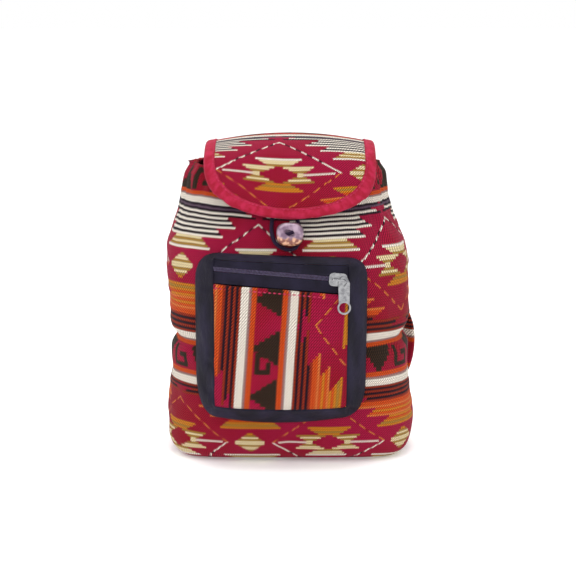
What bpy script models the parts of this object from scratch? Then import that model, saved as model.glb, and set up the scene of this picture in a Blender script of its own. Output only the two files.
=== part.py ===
"""A mini backpack purse of woven cloth: a soft hollow bag with a gathered mouth, a bound flap held by a
loop and a button, a zipped front pocket in a smooth gusset, and two shoulder straps on its back.
Metres, +Z up, front towards -Y, origin at the centre of the flat base."""

import math
from collections import namedtuple

import bmesh
import bpy
from mathutils import Matrix, Vector

# Clearances and cloth
GAP = 0.0003
CLOTH = 0.002
NYLON = 0.0012

# The bag
BODY_WIDTH = 0.204
BODY_DEPTH = 0.106
BODY_HEIGHT = 0.244
MOUTH_WIDTH = 0.160
MOUTH_DEPTH = 0.072
MOUTH_DIP = 0.007
FOLD_COUNT = 16
FOLD_DEPTH = 0.0045
FOLD_REACH = 0.070
POINTS_PER_FOLD = 4

# The flap and its binding
FLAP_WIDTH = 0.138
FLAP_SIDE_LENGTH = 0.099
FLAP_ROUND = 0.061
FLAP_END_POWER = 1.05
FLAP_RISE = 0.0215
FLAP_CREST_DROP = 0.008
FLAP_ROOT_DROP = 0.018
FLAP_STANDOFF = 0.0060
BINDING_WIDTH = 0.009
BINDING_WALL = 0.0005
BINDING_CLEARANCE = 0.0008
BINDING_HEM = 0.0017

# The button, its thread and the loop
BUTTON_WIDTH = 0.0225
BUTTON_HEIGHT = 0.0195
BUTTON_THICKNESS = 0.0085
BUTTON_Z = 0.192
BUTTON_STANDOFF = 0.0050
THREAD_WIDTH = 0.0086
THREAD_HEIGHT = 0.0034
THREAD_SLANT = math.radians(22)
LOOP_DIAMETER = 0.0032

# The pocket
POCKET_WIDTH = 0.137
POCKET_HEIGHT = 0.134
POCKET_X = -0.007
POCKET_Z = 0.1075
POCKET_DEPTH = 0.016
POCKET_CORNER = 0.015
POCKET_SIDE_FLARE = 0.015
POCKET_TOP_FLARE = 0.003
POCKET_BOTTOM_FLARE = 0.012
POCKET_SAG = 0.0035
POCKET_CROWN = 0.0015
PANEL_CORNER = 0.0015
PANEL_DROP = 0.0118

# The zip
ZIP_BELOW_TOP = 0.0076
ZIP_SAG = 0.0040
COIL_WIDTH = 0.0021
COIL_THICKNESS = 0.0018
COIL_PROUD = 0.0006
TAPE_THICKNESS = 0.0010
SLIDER_FROM_SIDE = 0.024
SLIDER_LENGTH = 0.0142
SLIDER_WIDTH = 0.0104
PLATE_THICKNESS = 0.0012
CROWN_SPAN = 0.0090
CROWN_RADIUS = 0.0008
PULL_LENGTH = 0.0303
PULL_WIDTH = 0.0092
PULL_THICKNESS = 0.0012
PULL_PLAY = 0.0005
PULL_RING_RADIUS = 0.0054
PULL_HOLE_RADIUS = 0.0040

# The shoulder straps
STRAP_WIDTH = 0.030
STRAP_THICKNESS = 0.004
STRAP_SLACK = 0.013

# Each row is one level of the bag. height is a share of BODY_HEIGHT; gather goes from 0 at full body size to
# 1 at mouth size; width, front and back are shares of the half sizes that gather gives; lean is the sideways
# shift, a share of BODY_WIDTH; square is the power of the rounded outline.
Level = namedtuple("Level", "height gather width front back lean square")
LEVELS = [
    Level(0.000, 0.00, 0.850, 0.820, 0.820, 0.000, 3.6),
    Level(0.012, 0.00, 0.915, 0.890, 0.880, 0.000, 3.5),
    Level(0.034, 0.00, 0.965, 0.945, 0.920, 0.000, 3.4),
    Level(0.070, 0.00, 0.988, 0.990, 0.945, 0.000, 3.3),
    Level(0.131, 0.00, 1.000, 1.020, 0.960, 0.000, 3.2),
    Level(0.213, 0.00, 0.990, 1.045, 0.965, 0.000, 3.1),
    Level(0.303, 0.00, 0.967, 1.055, 0.960, 0.000, 3.0),
    Level(0.380, 0.00, 0.953, 1.055, 0.950, 0.000, 3.0),
    Level(0.422, 0.00, 0.920, 1.050, 0.935, 0.000, 3.0),
    Level(0.466, 0.00, 0.955, 1.055, 0.950, 0.000, 3.0),
    Level(0.570, 0.00, 0.968, 1.055, 0.950, -0.002, 3.0),
    Level(0.656, 0.00, 0.980, 1.040, 0.940, -0.009, 3.0),
    Level(0.725, 0.05, 0.962, 1.020, 0.950, -0.013, 2.9),
    Level(0.779, 0.35, 0.985, 1.060, 1.000, -0.016, 2.8),
    Level(0.840, 0.65, 1.000, 1.080, 1.030, -0.019, 2.7),
    Level(0.885, 0.78, 1.000, 1.060, 1.030, -0.021, 2.6),
    Level(0.934, 0.90, 1.010, 1.030, 1.020, -0.022, 2.6),
    Level(1.000, 1.00, 1.000, 1.000, 1.000, -0.022, 2.6),
]

# Soft hollows in the cloth: across and height say where, as shares of BODY_WIDTH / 2 and BODY_HEIGHT, on the
# front (-1) or the back (1); wide and tall are their reach, as the same shares; depth is a share of FOLD_DEPTH.
Dent = namedtuple("Dent", "face across height wide tall depth")
DENTS = [
    Dent(-1, -0.80, 0.80, 0.16, 0.16, 0.9),
    Dent(-1, 0.72, 0.82, 0.14, 0.14, 0.8),
    Dent(-1, 0.86, 0.55, 0.14, 0.16, 0.7),
    Dent(-1, -0.92, 0.20, 0.14, 0.12, 0.6),
    Dent(1, 0.00, 0.42, 0.40, 0.22, 1.3),
    Dent(1, 0.62, 0.20, 0.20, 0.12, 0.6),
    Dent(1, -0.55, 0.66, 0.22, 0.14, 0.7),
]

# The flap's arch over the mouth, from back to front: depth is a share of the mouth's own depth there, from 1
# at its back face to -1 at its front face, and rise a share of the flap's rise above the rim.
Arch = namedtuple("Arch", "depth rise")
ARCH = [
    Arch(1.05, 0.15),
    Arch(0.88, 0.62),
    Arch(0.48, 0.93),
    Arch(0.00, 1.00),
    Arch(-0.45, 0.90),
    Arch(-0.84, 0.56),
    Arch(-1.08, 0.08),
]

# The pocket's corners from the top left, clockwise: across and up are shares of its half sizes, and radius is
# a share of POCKET_CORNER.
Corner = namedtuple("Corner", "across up radius")
POCKET_CORNERS = [
    Corner(-1.00, 1.030, 1.00),
    Corner(1.00, 0.963, 0.80),
    Corner(0.985, -0.985, 0.93),
    Corner(-1.005, -0.985, 1.30),
]

# A strap's way down the back: across is a share of BODY_WIDTH / 2, height of BODY_HEIGHT, slack of
# STRAP_SLACK, and turn is how much further outwards than the bag's own back the strap's face turns, in degrees.
Route = namedtuple("Route", "across height slack turn")
RIGHT_STRAP = [
    Route(0.17, 0.900, 0.00, 0),
    Route(0.22, 0.840, 0.45, 0),
    Route(0.37, 0.740, 1.10, 2),
    Route(0.58, 0.620, 1.40, 5),
    Route(0.78, 0.500, 1.40, 8),
    Route(0.93, 0.400, 1.25, 10),
    Route(0.965, 0.330, 1.20, 12),
    Route(0.93, 0.250, 1.00, 10),
    Route(0.80, 0.160, 0.60, 5),
    Route(0.70, 0.100, 0.12, 0),
    Route(0.66, 0.065, 0.00, 0),
]
LEFT_STRAP = [
    Route(-0.17, 0.900, 0.00, 0),
    Route(-0.22, 0.840, 0.45, 0),
    Route(-0.34, 0.740, 1.00, 0),
    Route(-0.50, 0.620, 1.30, 2),
    Route(-0.64, 0.500, 1.30, 4),
    Route(-0.74, 0.400, 1.20, 6),
    Route(-0.79, 0.320, 1.10, 6),
    Route(-0.78, 0.240, 0.90, 4),
    Route(-0.73, 0.160, 0.50, 2),
    Route(-0.67, 0.100, 0.12, 0),
    Route(-0.64, 0.065, 0.00, 0),
]

# The loop's way from under the flap round the button and back: across and up are shares of the button's half
# sizes from its centre.
LOOP_ROUTE = [
    (-1.15, 2.10),
    (-1.34, 1.45),
    (-1.46, 0.70),
    (-1.40, -0.05),
    (-1.10, -0.75),
    (-0.55, -1.18),
    (0.05, -1.30),
    (0.55, -1.08),
    (0.86, -0.50),
    (0.92, 0.20),
    (0.84, 0.95),
    (0.70, 1.55),
    (0.62, 2.10),
]


def clear_scene():
    for item in list(bpy.data.objects):
        bpy.data.objects.remove(item, do_unlink=True)


def new_collection(name, hidden=False):
    made = bpy.data.collections.new(name)
    bpy.context.scene.collection.children.link(made)
    made.hide_render = hidden
    return made


def material(name, color, roughness, metallic=0.0):
    made = bpy.data.materials.new(name)
    made.use_nodes = True
    shader = made.node_tree.nodes["Principled BSDF"]
    shader.inputs["Base Color"].default_value = (*color, 1.0)
    shader.inputs["Roughness"].default_value = roughness
    shader.inputs["Metallic"].default_value = metallic
    return made


def place(name, data, surface, collection):
    """A new object with its material, in its collection."""
    made = bpy.data.objects.new(name, data)
    data.materials.append(surface)
    collection.objects.link(made)
    return made


def mesh_from(name, points, faces, smooth=True):
    data = bpy.data.meshes.new(name)
    data.from_pydata([tuple(point) for point in points], [], faces)
    data.validate()
    if smooth:
        data.shade_smooth()
    return data


def thicken(item, thickness, offset):
    """Solidify an open surface; offset -1 keeps the face that its normals point from outside."""
    wall = item.modifiers.new("wall", "SOLIDIFY")
    wall.thickness = thickness
    wall.offset = offset
    wall.use_rim = True


def mix(low, high, share):
    return low + (high - low) * share


def spline(points, steps):
    """Points on a smooth curve through the given ones, with steps spans between each pair."""
    ends = [points[0] * 2 - points[1]] + list(points) + [points[-1] * 2 - points[-2]]
    found = []
    for a, b, c, d in zip(ends, ends[1:], ends[2:], ends[3:]):
        for step in range(steps):
            t = step / steps
            found.append(
                b
                + (c - a) * (t / 2)
                + (a * 2 - b * 5 + c * 4 - d) * (t * t / 2)
                + (b * 3 - a - c * 3 + d) * (t * t * t / 2)
            )
    found.append(points[-1])
    return found


def along(points, distance):
    """The point that lies at a distance along a polyline, carried on straight past its end."""
    for start, end in zip(points, points[1:]):
        span = (end - start).length
        if distance <= span or end is points[-1]:
            return start + (end - start) * (distance / span)
        distance -= span
    return points[-1]


# The bag's surface
Section = namedtuple("Section", "half front back centre square")


def section_of(level):
    width = mix(BODY_WIDTH, MOUTH_WIDTH, level.gather) / 2
    depth = mix(BODY_DEPTH, MOUTH_DEPTH, level.gather) / 2
    return Section(
        width * level.width, depth * level.front, depth * level.back, level.lean * BODY_WIDTH, level.square
    )


def section_at(z):
    """The bag's outline at one height, between the two levels that it lies between."""
    share = min(max(z / BODY_HEIGHT, 0.0), 1.0)
    for low, high in zip(LEVELS, LEVELS[1:]):
        if share <= high.height:
            part = (share - low.height) / (high.height - low.height)
            return Section(*(mix(a, b, part) for a, b in zip(section_of(low), section_of(high))))
    return section_of(LEVELS[-1])


def face_y(x, z, face):
    """How far forward (face -1) or back (face 1) the bag's smooth surface lies at x and z."""
    section = section_at(z)
    across = min(abs(x - section.centre) / section.half, 0.985)
    depth = section.front if face < 0 else section.back
    return face * depth * (1 - across**section.square) ** (1 / section.square)


def outline(section, count):
    """Evenly spaced points round a section, from the middle of the front towards +X."""
    dense = []
    steps = 720
    for step in range(steps + 1):
        angle = 2 * math.pi * step / steps - math.pi / 2
        depth = section.front if math.sin(angle) < 0 else section.back
        power = 2 / section.square
        dense.append(
            Vector(
                (
                    section.centre + section.half * math.copysign(abs(math.cos(angle)) ** power, math.cos(angle)),
                    depth * math.copysign(abs(math.sin(angle)) ** power, math.sin(angle)),
                )
            )
        )
    lengths = [0.0]
    for start, end in zip(dense, dense[1:]):
        lengths.append(lengths[-1] + (end - start).length)
    found = []
    step = 0
    for index in range(count):
        target = lengths[-1] * index / count
        while lengths[step + 1] < target:
            step += 1
        part = (target - lengths[step]) / (lengths[step + 1] - lengths[step])
        found.append(dense[step].lerp(dense[step + 1], part))
    return found


def gather_depth(share, z):
    """How far a gather pulls the cloth in, at a share of the way round and a height."""
    reach = max(0.0, 1 - (BODY_HEIGHT - z) / FOLD_REACH)
    wander = share + 0.004 * math.sin(2 * math.pi * 3 * share) + 0.003 * math.sin(2 * math.pi * 5 * share + 1)
    wave = 0.5 - 0.5 * math.cos(2 * math.pi * FOLD_COUNT * wander)
    uneven = 1 + 0.35 * math.sin(2 * math.pi * 4 * share + 2)
    return FOLD_DEPTH * reach**1.4 * wave * uneven


def dent_depth(point, z):
    """How far the soft hollows pull the cloth in at one point."""
    total = 0.0
    for dent in DENTS:
        if dent.face * point.y > 0:
            across = (point.x / (BODY_WIDTH / 2) - dent.across) / dent.wide
            up = (z / BODY_HEIGHT - dent.height) / dent.tall
            total += dent.depth * FOLD_DEPTH * math.exp(-(across**2) - up**2)
    return total


def make_body(surface, collection):
    count = FOLD_COUNT * POINTS_PER_FOLD
    points = []
    for level in LEVELS:
        ring = outline(section_of(level), count)
        z = level.height * BODY_HEIGHT
        for index, point in enumerate(ring):
            side = ring[(index + 1) % count] - ring[index - 1]
            inwards = Vector((-side.y, side.x)).normalized()
            depth = gather_depth(index / count, z) + dent_depth(point, z)
            if level.height == 0:
                depth = 0.0
            moved = point + inwards * depth
            front = max(0.0, -point.y / section_of(level).front) ** 2
            points.append((moved.x, moved.y, z - MOUTH_DIP * level.gather**3 * front))
    faces = [tuple(reversed(range(count)))]
    for row in range(len(LEVELS) - 1):
        for index in range(count):
            after = (index + 1) % count
            low, high = row * count, (row + 1) * count
            faces.append((low + index, low + after, high + after, high + index))
    body = place("bag_body", mesh_from("bag_body", points, faces), surface, collection)
    thicken(body, CLOTH, -1)


# The flap's surface
def flap_profile(x):
    """The flap's middle layer from its back seam over the crest and down the front, at one x."""
    side = abs(x) / (FLAP_WIDTH / 2)
    rise = FLAP_RISE - FLAP_CREST_DROP * side**2
    half = CLOTH / 2
    back_z = BODY_HEIGHT - FLAP_ROOT_DROP
    points = [
        Vector((x, face_y(x, back_z, 1) + half + GAP, back_z)),
        Vector((x, face_y(0.94 * x, back_z, 1) + half + 5 * GAP, back_z + FLAP_ROOT_DROP / 2)),
    ]
    for row in ARCH:
        narrow = face_y(0.78 * x, BODY_HEIGHT, math.copysign(1, row.depth))
        points.append(Vector((x, abs(row.depth) * narrow, BODY_HEIGHT + row.rise * rise)))
    drop = FLAP_ROUND + BINDING_WIDTH
    for share in (0.33, 0.66, 1.0):
        z = BODY_HEIGHT - share * drop
        points.append(Vector((x, face_y(0.78 * x, z, -1) - FLAP_STANDOFF, z)))
    return spline(points, 8)


def flap_point(x, length):
    """A point of the flap's middle layer, at x and a length of cloth from the back seam."""
    return along(flap_profile(x), length)


def flap_normal(x, length):
    step = 0.001
    across = flap_point(x + step, length) - flap_point(x - step, length)
    down = flap_point(x, length + step) - flap_point(x, length - step)
    return down.cross(across).normalized()


def flap_edge(angle, inset):
    """The flat flap's outline, inset by a width: x and length, where angle goes from -90 to 90 round the end."""
    half = FLAP_WIDTH / 2 - inset
    end = max(0.0, math.cos(angle)) ** FLAP_END_POWER
    return half * math.sin(angle), FLAP_SIDE_LENGTH + (FLAP_ROUND - inset) * end


FLAP_COLUMNS = 20
FLAP_SIDE_ROWS = 14
FLAP_END_ROWS = 8
BINDING_START = 2


def make_flap(surface, collection):
    inset = BINDING_HEM + GAP
    rows = FLAP_SIDE_ROWS + FLAP_END_ROWS
    shape = bmesh.new()
    grid = []
    for column in range(FLAP_COLUMNS + 1):
        x, length = flap_edge(math.radians(-90 + 180 * column / FLAP_COLUMNS), inset)
        lengths = [FLAP_SIDE_LENGTH * row / FLAP_SIDE_ROWS for row in range(FLAP_SIDE_ROWS + 1)]
        lengths += [mix(FLAP_SIDE_LENGTH, length, row / FLAP_END_ROWS) for row in range(1, FLAP_END_ROWS + 1)]
        grid.append([shape.verts.new(flap_point(x, at)) for at in lengths])
    for left, right in zip(grid, grid[1:]):
        for row in range(rows):
            shape.faces.new((left[row], left[row + 1], right[row + 1], right[row]))
    bmesh.ops.remove_doubles(shape, verts=shape.verts, dist=1e-5)
    data = bpy.data.meshes.new("flap")
    shape.to_mesh(data)
    shape.free()
    data.shade_smooth()
    flap = place("flap", data, surface, collection)
    thicken(flap, CLOTH, 0)


def binding_section():
    """The folded tape's section: how far in from the edge, and how far off the flap's middle layer."""
    inner = CLOTH / 2 + BINDING_CLEARANCE
    outer = inner + BINDING_WALL
    edge = [(0.0, 0.0), (0.22 * BINDING_HEM, 0.75 * outer), (1.1 * BINDING_HEM, outer)]
    top = edge + [(BINDING_WIDTH, outer), (BINDING_WIDTH, inner), (BINDING_HEM, inner)]
    return top + [(a, -b) for a, b in reversed(top[1:])]


def make_binding(surface, collection):
    stations = []
    for row in range(BINDING_START, FLAP_SIDE_ROWS):
        stations.append((-90, row / FLAP_SIDE_ROWS))
    for column in range(FLAP_COLUMNS + 1):
        stations.append((-90 + 180 * column / FLAP_COLUMNS, 1.0))
    for row in range(FLAP_SIDE_ROWS - 1, BINDING_START - 1, -1):
        stations.append((90, row / FLAP_SIDE_ROWS))
    section = binding_section()
    points = []
    for angle, share in stations:
        edge_x, edge_length = flap_edge(math.radians(angle), 0.0)
        deep_x, deep_length = flap_edge(math.radians(angle), BINDING_WIDTH)
        for inwards, off in section:
            part = inwards / BINDING_WIDTH
            x = mix(edge_x, deep_x, part)
            length = mix(edge_length, deep_length, part) * share
            points.append(flap_point(x, length) + flap_normal(x, length) * off)
    count = len(section)
    faces = [tuple(range(count)), tuple(reversed(range(len(points) - count, len(points))))]
    for row in range(len(stations) - 1):
        for index in range(count):
            after = (index + 1) % count
            low, high = row * count, (row + 1) * count
            faces.append((low + index, high + index, high + after, low + after))
    data = mesh_from("flap_binding", points, faces)
    data.set_sharp_from_angle(angle=math.radians(60))
    place("flap_binding", data, surface, collection)


# The pocket
def pocket_corners(side, top, bottom):
    """The pocket's four corners, moved in by a width at the sides, the top and the bottom."""
    found = []
    for corner in POCKET_CORNERS:
        x = POCKET_X + corner.across * POCKET_WIDTH / 2 - math.copysign(side, corner.across)
        z = POCKET_Z + corner.up * POCKET_HEIGHT / 2 - (top if corner.up > 0 else -bottom)
        found.append(Vector((x, z)))
    return found


def pocket_outline(corners, radii, sag):
    """Points clockwise round the pocket, with rounded corners and a bottom edge that hangs down a little."""
    found = []
    side_steps, corner_steps = 7, 4
    for index, corner in enumerate(corners):
        before, after = corners[index - 1], corners[(index + 1) % 4]
        start = corner + (before - corner).normalized() * radii[index]
        end = corner + (after - corner).normalized() * radii[index]
        for step in range(corner_steps + 1):
            t = step / corner_steps
            found.append(start * (1 - t) ** 2 + corner * (2 * t * (1 - t)) + end * t**2)
        next_start = after + (corner - after).normalized() * radii[(index + 1) % 4]
        for step in range(1, side_steps):
            t = step / side_steps
            point = end.lerp(next_start, t)
            if index == 2:
                point.y -= sag * 4 * t * (1 - t)
            found.append(point)
    return found


def front_corners(inset=0.0):
    """Corners of the pocket's flat front, inset all round."""
    return pocket_corners(
        POCKET_SIDE_FLARE + inset, POCKET_TOP_FLARE + inset, POCKET_BOTTOM_FLARE + inset
    )


def pocket_depth(x, z):
    """How far the pocket's front stands off the bag, a little more in its middle."""
    across = (x - POCKET_X) / (POCKET_WIDTH / 2)
    up = (z - POCKET_Z) / (POCKET_HEIGHT / 2)
    return POCKET_DEPTH + POCKET_CROWN * max(0.0, 1 - across**2) * max(0.0, 1 - up**2)


def front_point(x, z, out=0.0):
    """A point on the pocket's front face, or that far out from it."""
    return Vector((x, face_y(x, z, -1) - pocket_depth(x, z) - out, z))


def make_gusset(surface, collection):
    radii = [corner.radius * POCKET_CORNER for corner in POCKET_CORNERS]
    back = pocket_outline(pocket_corners(0, 0, 0), radii, POCKET_SAG)
    front = pocket_outline(front_corners(), [PANEL_CORNER] * 4, POCKET_SAG / 2)
    rings = (
        (0.0, 0.0, 0.0),
        (0.0, 0.24, 0.0),
        (0.42, 0.66, 0.0012),
        (1.0, 1.0, 0.0),
    )
    centre = Vector((POCKET_X, POCKET_Z))
    points = []
    for towards, depth, swell in rings:
        for outer, inner in zip(back, front):
            flat = outer.lerp(inner, towards)
            flat += (flat - centre).normalized() * swell
            inside = flat + (centre - flat).normalized() * 1.4 * NYLON
            seat = min(face_y(flat.x, flat.y, -1), face_y(inside.x, inside.y, -1)) - GAP
            out = face_y(flat.x, flat.y, -1) - depth * pocket_depth(flat.x, flat.y)
            points.append((flat.x, min(seat, out), flat.y))
    count = len(back)
    faces = []
    for row in range(len(rings) - 1):
        for index in range(count):
            after = (index + 1) % count
            low, high = row * count, (row + 1) * count
            faces.append((low + index, high + index, high + after, low + after))
    gusset = place("pocket_gusset", mesh_from("pocket_gusset", points, faces), surface, collection)
    thicken(gusset, NYLON, -1)


def zip_z(share):
    """The zip's line, from the pocket's left side to its right, where it hangs a little lower."""
    left, right = front_corners()[:2]
    return mix(left.y, right.y, share) - ZIP_BELOW_TOP - ZIP_SAG * share**1.6


def sides_at(z, inset):
    """Left and right x of the pocket's front at one height."""
    top_left, top_right, low_right, low_left = front_corners()
    part = (z - low_left.y) / (top_left.y - low_left.y)
    return mix(low_left.x, top_left.x, part) + inset, mix(low_right.x, top_right.x, part) - inset


EDGE_INSET = NYLON + GAP


def front_strip(name, low, high, rows, columns, thickness, out, surface, collection, right_end=None):
    """A patch of cloth on the pocket's front between two lines; low and high give z at a share across."""
    points = []
    for column in range(columns + 1):
        share = column / columns
        for row in range(rows + 1):
            z = mix(low(share), high(share), row / rows)
            left, right = sides_at(z, EDGE_INSET)
            x = mix(left, right if right_end is None else right_end, share)
            points.append(front_point(x, z, out))
    faces = []
    for column in range(columns):
        for row in range(rows):
            a, b = column * (rows + 1) + row, (column + 1) * (rows + 1) + row
            faces.append((a, b, b + 1, a + 1))
    strip = place(name, mesh_from(name, points, faces), surface, collection)
    thicken(strip, thickness, -1)


COIL_REACH = COIL_WIDTH + GAP


def make_pocket_front(cloth, tape, coil, collection):
    corners = front_corners(EDGE_INSET)

    def bottom(share):
        sag = POCKET_SAG / 2 * 4 * share * (1 - share) * 0.85
        return mix(corners[3].y, corners[2].y, share) - sag

    def top(share):
        return mix(corners[0].y, corners[1].y, share)

    def panel_top(share):
        return zip_z(share) - PANEL_DROP

    def coil_share(share):
        """The share across the whole front of a point on a coil, which ends at the slider's neck."""
        left, right = sides_at(zip_z(share), EDGE_INSET)
        return share * (SLIDER_X - left) / (right - left)

    columns = 12
    front_strip("pocket_panel", bottom, panel_top, 10, columns, CLOTH, 0.0, cloth, collection)
    front_strip(
        "zip_tape_upper", lambda s: zip_z(s) + COIL_REACH + GAP, top, 2, columns, TAPE_THICKNESS, 0.0, tape, collection
    )
    front_strip(
        "zip_tape_lower",
        lambda s: panel_top(s) + GAP,
        lambda s: zip_z(s) - COIL_REACH - GAP,
        2,
        columns,
        TAPE_THICKNESS,
        0.0,
        tape,
        collection,
    )
    for name, low, high in (
        ("zip_coil_upper", GAP / 2, GAP / 2 + COIL_WIDTH),
        ("zip_coil_lower", -GAP / 2 - COIL_WIDTH, -GAP / 2),
    ):
        front_strip(
            name,
            lambda s, low=low: zip_z(coil_share(s)) + low,
            lambda s, high=high: zip_z(coil_share(s)) + high,
            1,
            columns,
            COIL_THICKNESS,
            COIL_PROUD,
            coil,
            collection,
            right_end=SLIDER_X,
        )


# The zip's slider and pull
def slider_frame():
    """The slider's place on the pocket's front: its local X runs along the zip and its local Z points out."""
    left, right = sides_at(POCKET_Z, EDGE_INSET)

    def on_zip(x):
        return front_point(x, zip_z((x - left) / (right - left)))

    step = SLIDER_LENGTH / 2
    centre = on_zip(SLIDER_X)
    forward = (on_zip(SLIDER_X + step) - on_zip(SLIDER_X - step)).normalized()
    upward = front_point(centre.x, centre.z + step) - front_point(centre.x, centre.z - step)
    outward = forward.cross(upward).normalized()
    turned = Matrix((forward, outward.cross(forward), outward)).transposed().to_4x4()
    return Matrix.Translation(centre) @ turned


SLIDER_X = POCKET_X + POCKET_WIDTH / 2 - SLIDER_FROM_SIDE
PLATE_LOW = COIL_PROUD + GAP
PLATE_TOP = PLATE_LOW + PLATE_THICKNESS
CROWN_HEIGHT = PLATE_TOP + PULL_THICKNESS + 2 * PULL_PLAY + CROWN_RADIUS
LEG_X = CROWN_SPAN / 2


def block(name, low, high, bevel, surface, collection):
    """A box between two corners, with its edges bevelled."""
    data = bpy.data.meshes.new(name)
    shape = bmesh.new()
    size = Vector(high) - Vector(low)
    middle = (Vector(high) + Vector(low)) / 2
    turn = Matrix.Translation(middle) @ Matrix.Diagonal((*size, 1.0))
    bmesh.ops.create_cube(shape, size=1.0, matrix=turn)
    if bevel:
        upright = [
            edge
            for edge in shape.edges
            if abs(edge.verts[0].co.z - edge.verts[1].co.z) > size.z / 2
        ]
        bmesh.ops.bevel(
            shape, geom=upright, offset=bevel, offset_type="OFFSET", segments=3, profile=0.5, affect="EDGES"
        )
    shape.to_mesh(data)
    shape.free()
    return place(name, data, surface, collection)


def tube(name, points, radius, resolution, surface, collection):
    """A round bar through the given points, with closed ends."""
    data = bpy.data.curves.new(name, "CURVE")
    data.dimensions = "3D"
    path = data.splines.new("POLY")
    path.points.add(len(points) - 1)
    for target, point in zip(path.points, points):
        target.co = (*point, 1.0)
    data.bevel_depth = radius
    data.bevel_resolution = resolution
    data.use_fill_caps = True
    return place(name, data, surface, collection)


def as_mesh(item, surface, collection):
    """A curve object made a mesh of one closed skin."""
    graph = bpy.context.evaluated_depsgraph_get()
    data = bpy.data.meshes.new_from_object(item.evaluated_get(graph))
    shape = bmesh.new()
    shape.from_mesh(data)
    bmesh.ops.remove_doubles(shape, verts=shape.verts, dist=1e-6)
    shape.to_mesh(data)
    shape.free()
    data.materials.clear()
    name, world = item.name, item.matrix_world.copy()
    bpy.data.objects.remove(item, do_unlink=True)
    made = place(name, data, surface, collection)
    made.matrix_world = world
    return made


def join(target, others, operation="UNION"):
    for other in others:
        step = target.modifiers.new(other.name, "BOOLEAN")
        step.operation = operation
        step.solver = "EXACT"
        step.object = other
        other.hide_render = True
        other.display_type = "WIRE"


def make_slider(frame, metal, parts, cutters):
    half, wide = SLIDER_LENGTH / 2, SLIDER_WIDTH / 2
    lip = 0.0011
    body = block("zip_slider", (-half, -wide, PLATE_LOW), (half, wide, PLATE_TOP), 0.003, metal, parts)
    back_top = -COIL_THICKNESS + COIL_PROUD - GAP
    back_low = back_top - PLATE_THICKNESS
    lips = [
        block(
            f"slider_lip_{side}",
            (-half * 0.55, min(edge, edge + turn * lip), GAP),
            (half * 0.55, max(edge, edge + turn * lip), PLATE_LOW + PLATE_THICKNESS / 2),
            0,
            metal,
            cutters,
        )
        for side, edge, turn in (("upper", wide, -1), ("lower", -wide, 1))
    ]
    neck = block(
        "slider_neck", (GAP, -0.0013, back_low), (0.0030, 0.0013, PLATE_TOP - PLATE_THICKNESS / 2), 0, metal, cutters
    )
    back = block(
        "slider_back",
        (-half * 0.85, -wide * 0.9, back_low),
        (half * 0.85, wide * 0.9, back_top),
        0.0025,
        metal,
        cutters,
    )
    foot = PLATE_TOP - PLATE_THICKNESS / 2
    bend = 0.0009
    crown_path = [
        (-LEG_X, 0, foot),
        (-LEG_X, 0, CROWN_HEIGHT - bend),
        (-LEG_X + bend * 0.3, 0, CROWN_HEIGHT - bend * 0.3),
        (-LEG_X + bend, 0, CROWN_HEIGHT),
        (LEG_X - bend, 0, CROWN_HEIGHT),
        (LEG_X - bend * 0.3, 0, CROWN_HEIGHT - bend * 0.3),
        (LEG_X, 0, CROWN_HEIGHT - bend),
        (LEG_X, 0, foot),
    ]
    crown = as_mesh(
        tube("slider_crown", [Vector(point) for point in crown_path], CROWN_RADIUS, 1, metal, cutters), metal, cutters
    )
    pieces = [*lips, neck, back, crown]
    for piece in [body, *pieces]:
        piece.matrix_world = frame
    join(body, pieces)


def arc(centre, radius, start, end, steps):
    """Points on an arc, in degrees."""
    return [
        Vector(
            (
                centre[0] + radius * math.cos(math.radians(mix(start, end, step / steps))),
                centre[1] + radius * math.sin(math.radians(mix(start, end, step / steps))),
            )
        )
        for step in range(steps + 1)
    ]


def make_pull(frame, metal, collection):
    """The flat pull, hanging from the crown's right leg, which goes through its eye."""
    leg = frame @ Vector((LEG_X, 0, PLATE_TOP + PULL_PLAY + PULL_THICKNESS / 2))
    outward = frame.to_3x3() @ Vector((0, 0, 1))
    upward = (Vector((0, 0, 1)) - outward * outward.z).normalized()
    turned = Matrix((upward.cross(outward), upward, outward)).transposed().to_4x4()
    eye = CROWN_RADIUS + GAP
    rim = 0.0022
    top = eye + rim
    half = PULL_WIDTH / 2
    ring_y = -(PULL_LENGTH - top - PULL_RING_RADIUS)
    neck = math.degrees(math.asin(half * 0.93 / PULL_RING_RADIUS))
    outer = (
        arc((0, 0), top, 150, 30, 8)
        + [Vector((half, -0.0022))]
        + arc((0, ring_y), PULL_RING_RADIUS, 90 - neck, neck - 270, 20)
        + [Vector((-half, -0.0022))]
    )
    eye_hole = arc((0, 0), eye, 200, -20, 8) + [
        Vector((0.0024, -0.0022)),
        Vector((0, -0.0050)),
        Vector((-0.0024, -0.0022)),
    ]
    ring_hole = arc((0, ring_y), PULL_HOLE_RADIUS, 0, 340, 17)
    data = bpy.data.curves.new("pull_tab", "CURVE")
    data.dimensions = "2D"
    data.fill_mode = "BOTH"
    data.extrude = PULL_THICKNESS / 2
    for line in (outer, eye_hole, ring_hole):
        path = data.splines.new("POLY")
        path.points.add(len(line) - 1)
        for target, point in zip(path.points, line):
            target.co = (point.x, point.y, 0.0, 1.0)
        path.use_cyclic_u = True
    pull = place("pull_tab", data, metal, collection)
    pull.matrix_world = Matrix.Translation(leg) @ turned
    return as_mesh(pull, metal, collection)


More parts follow.
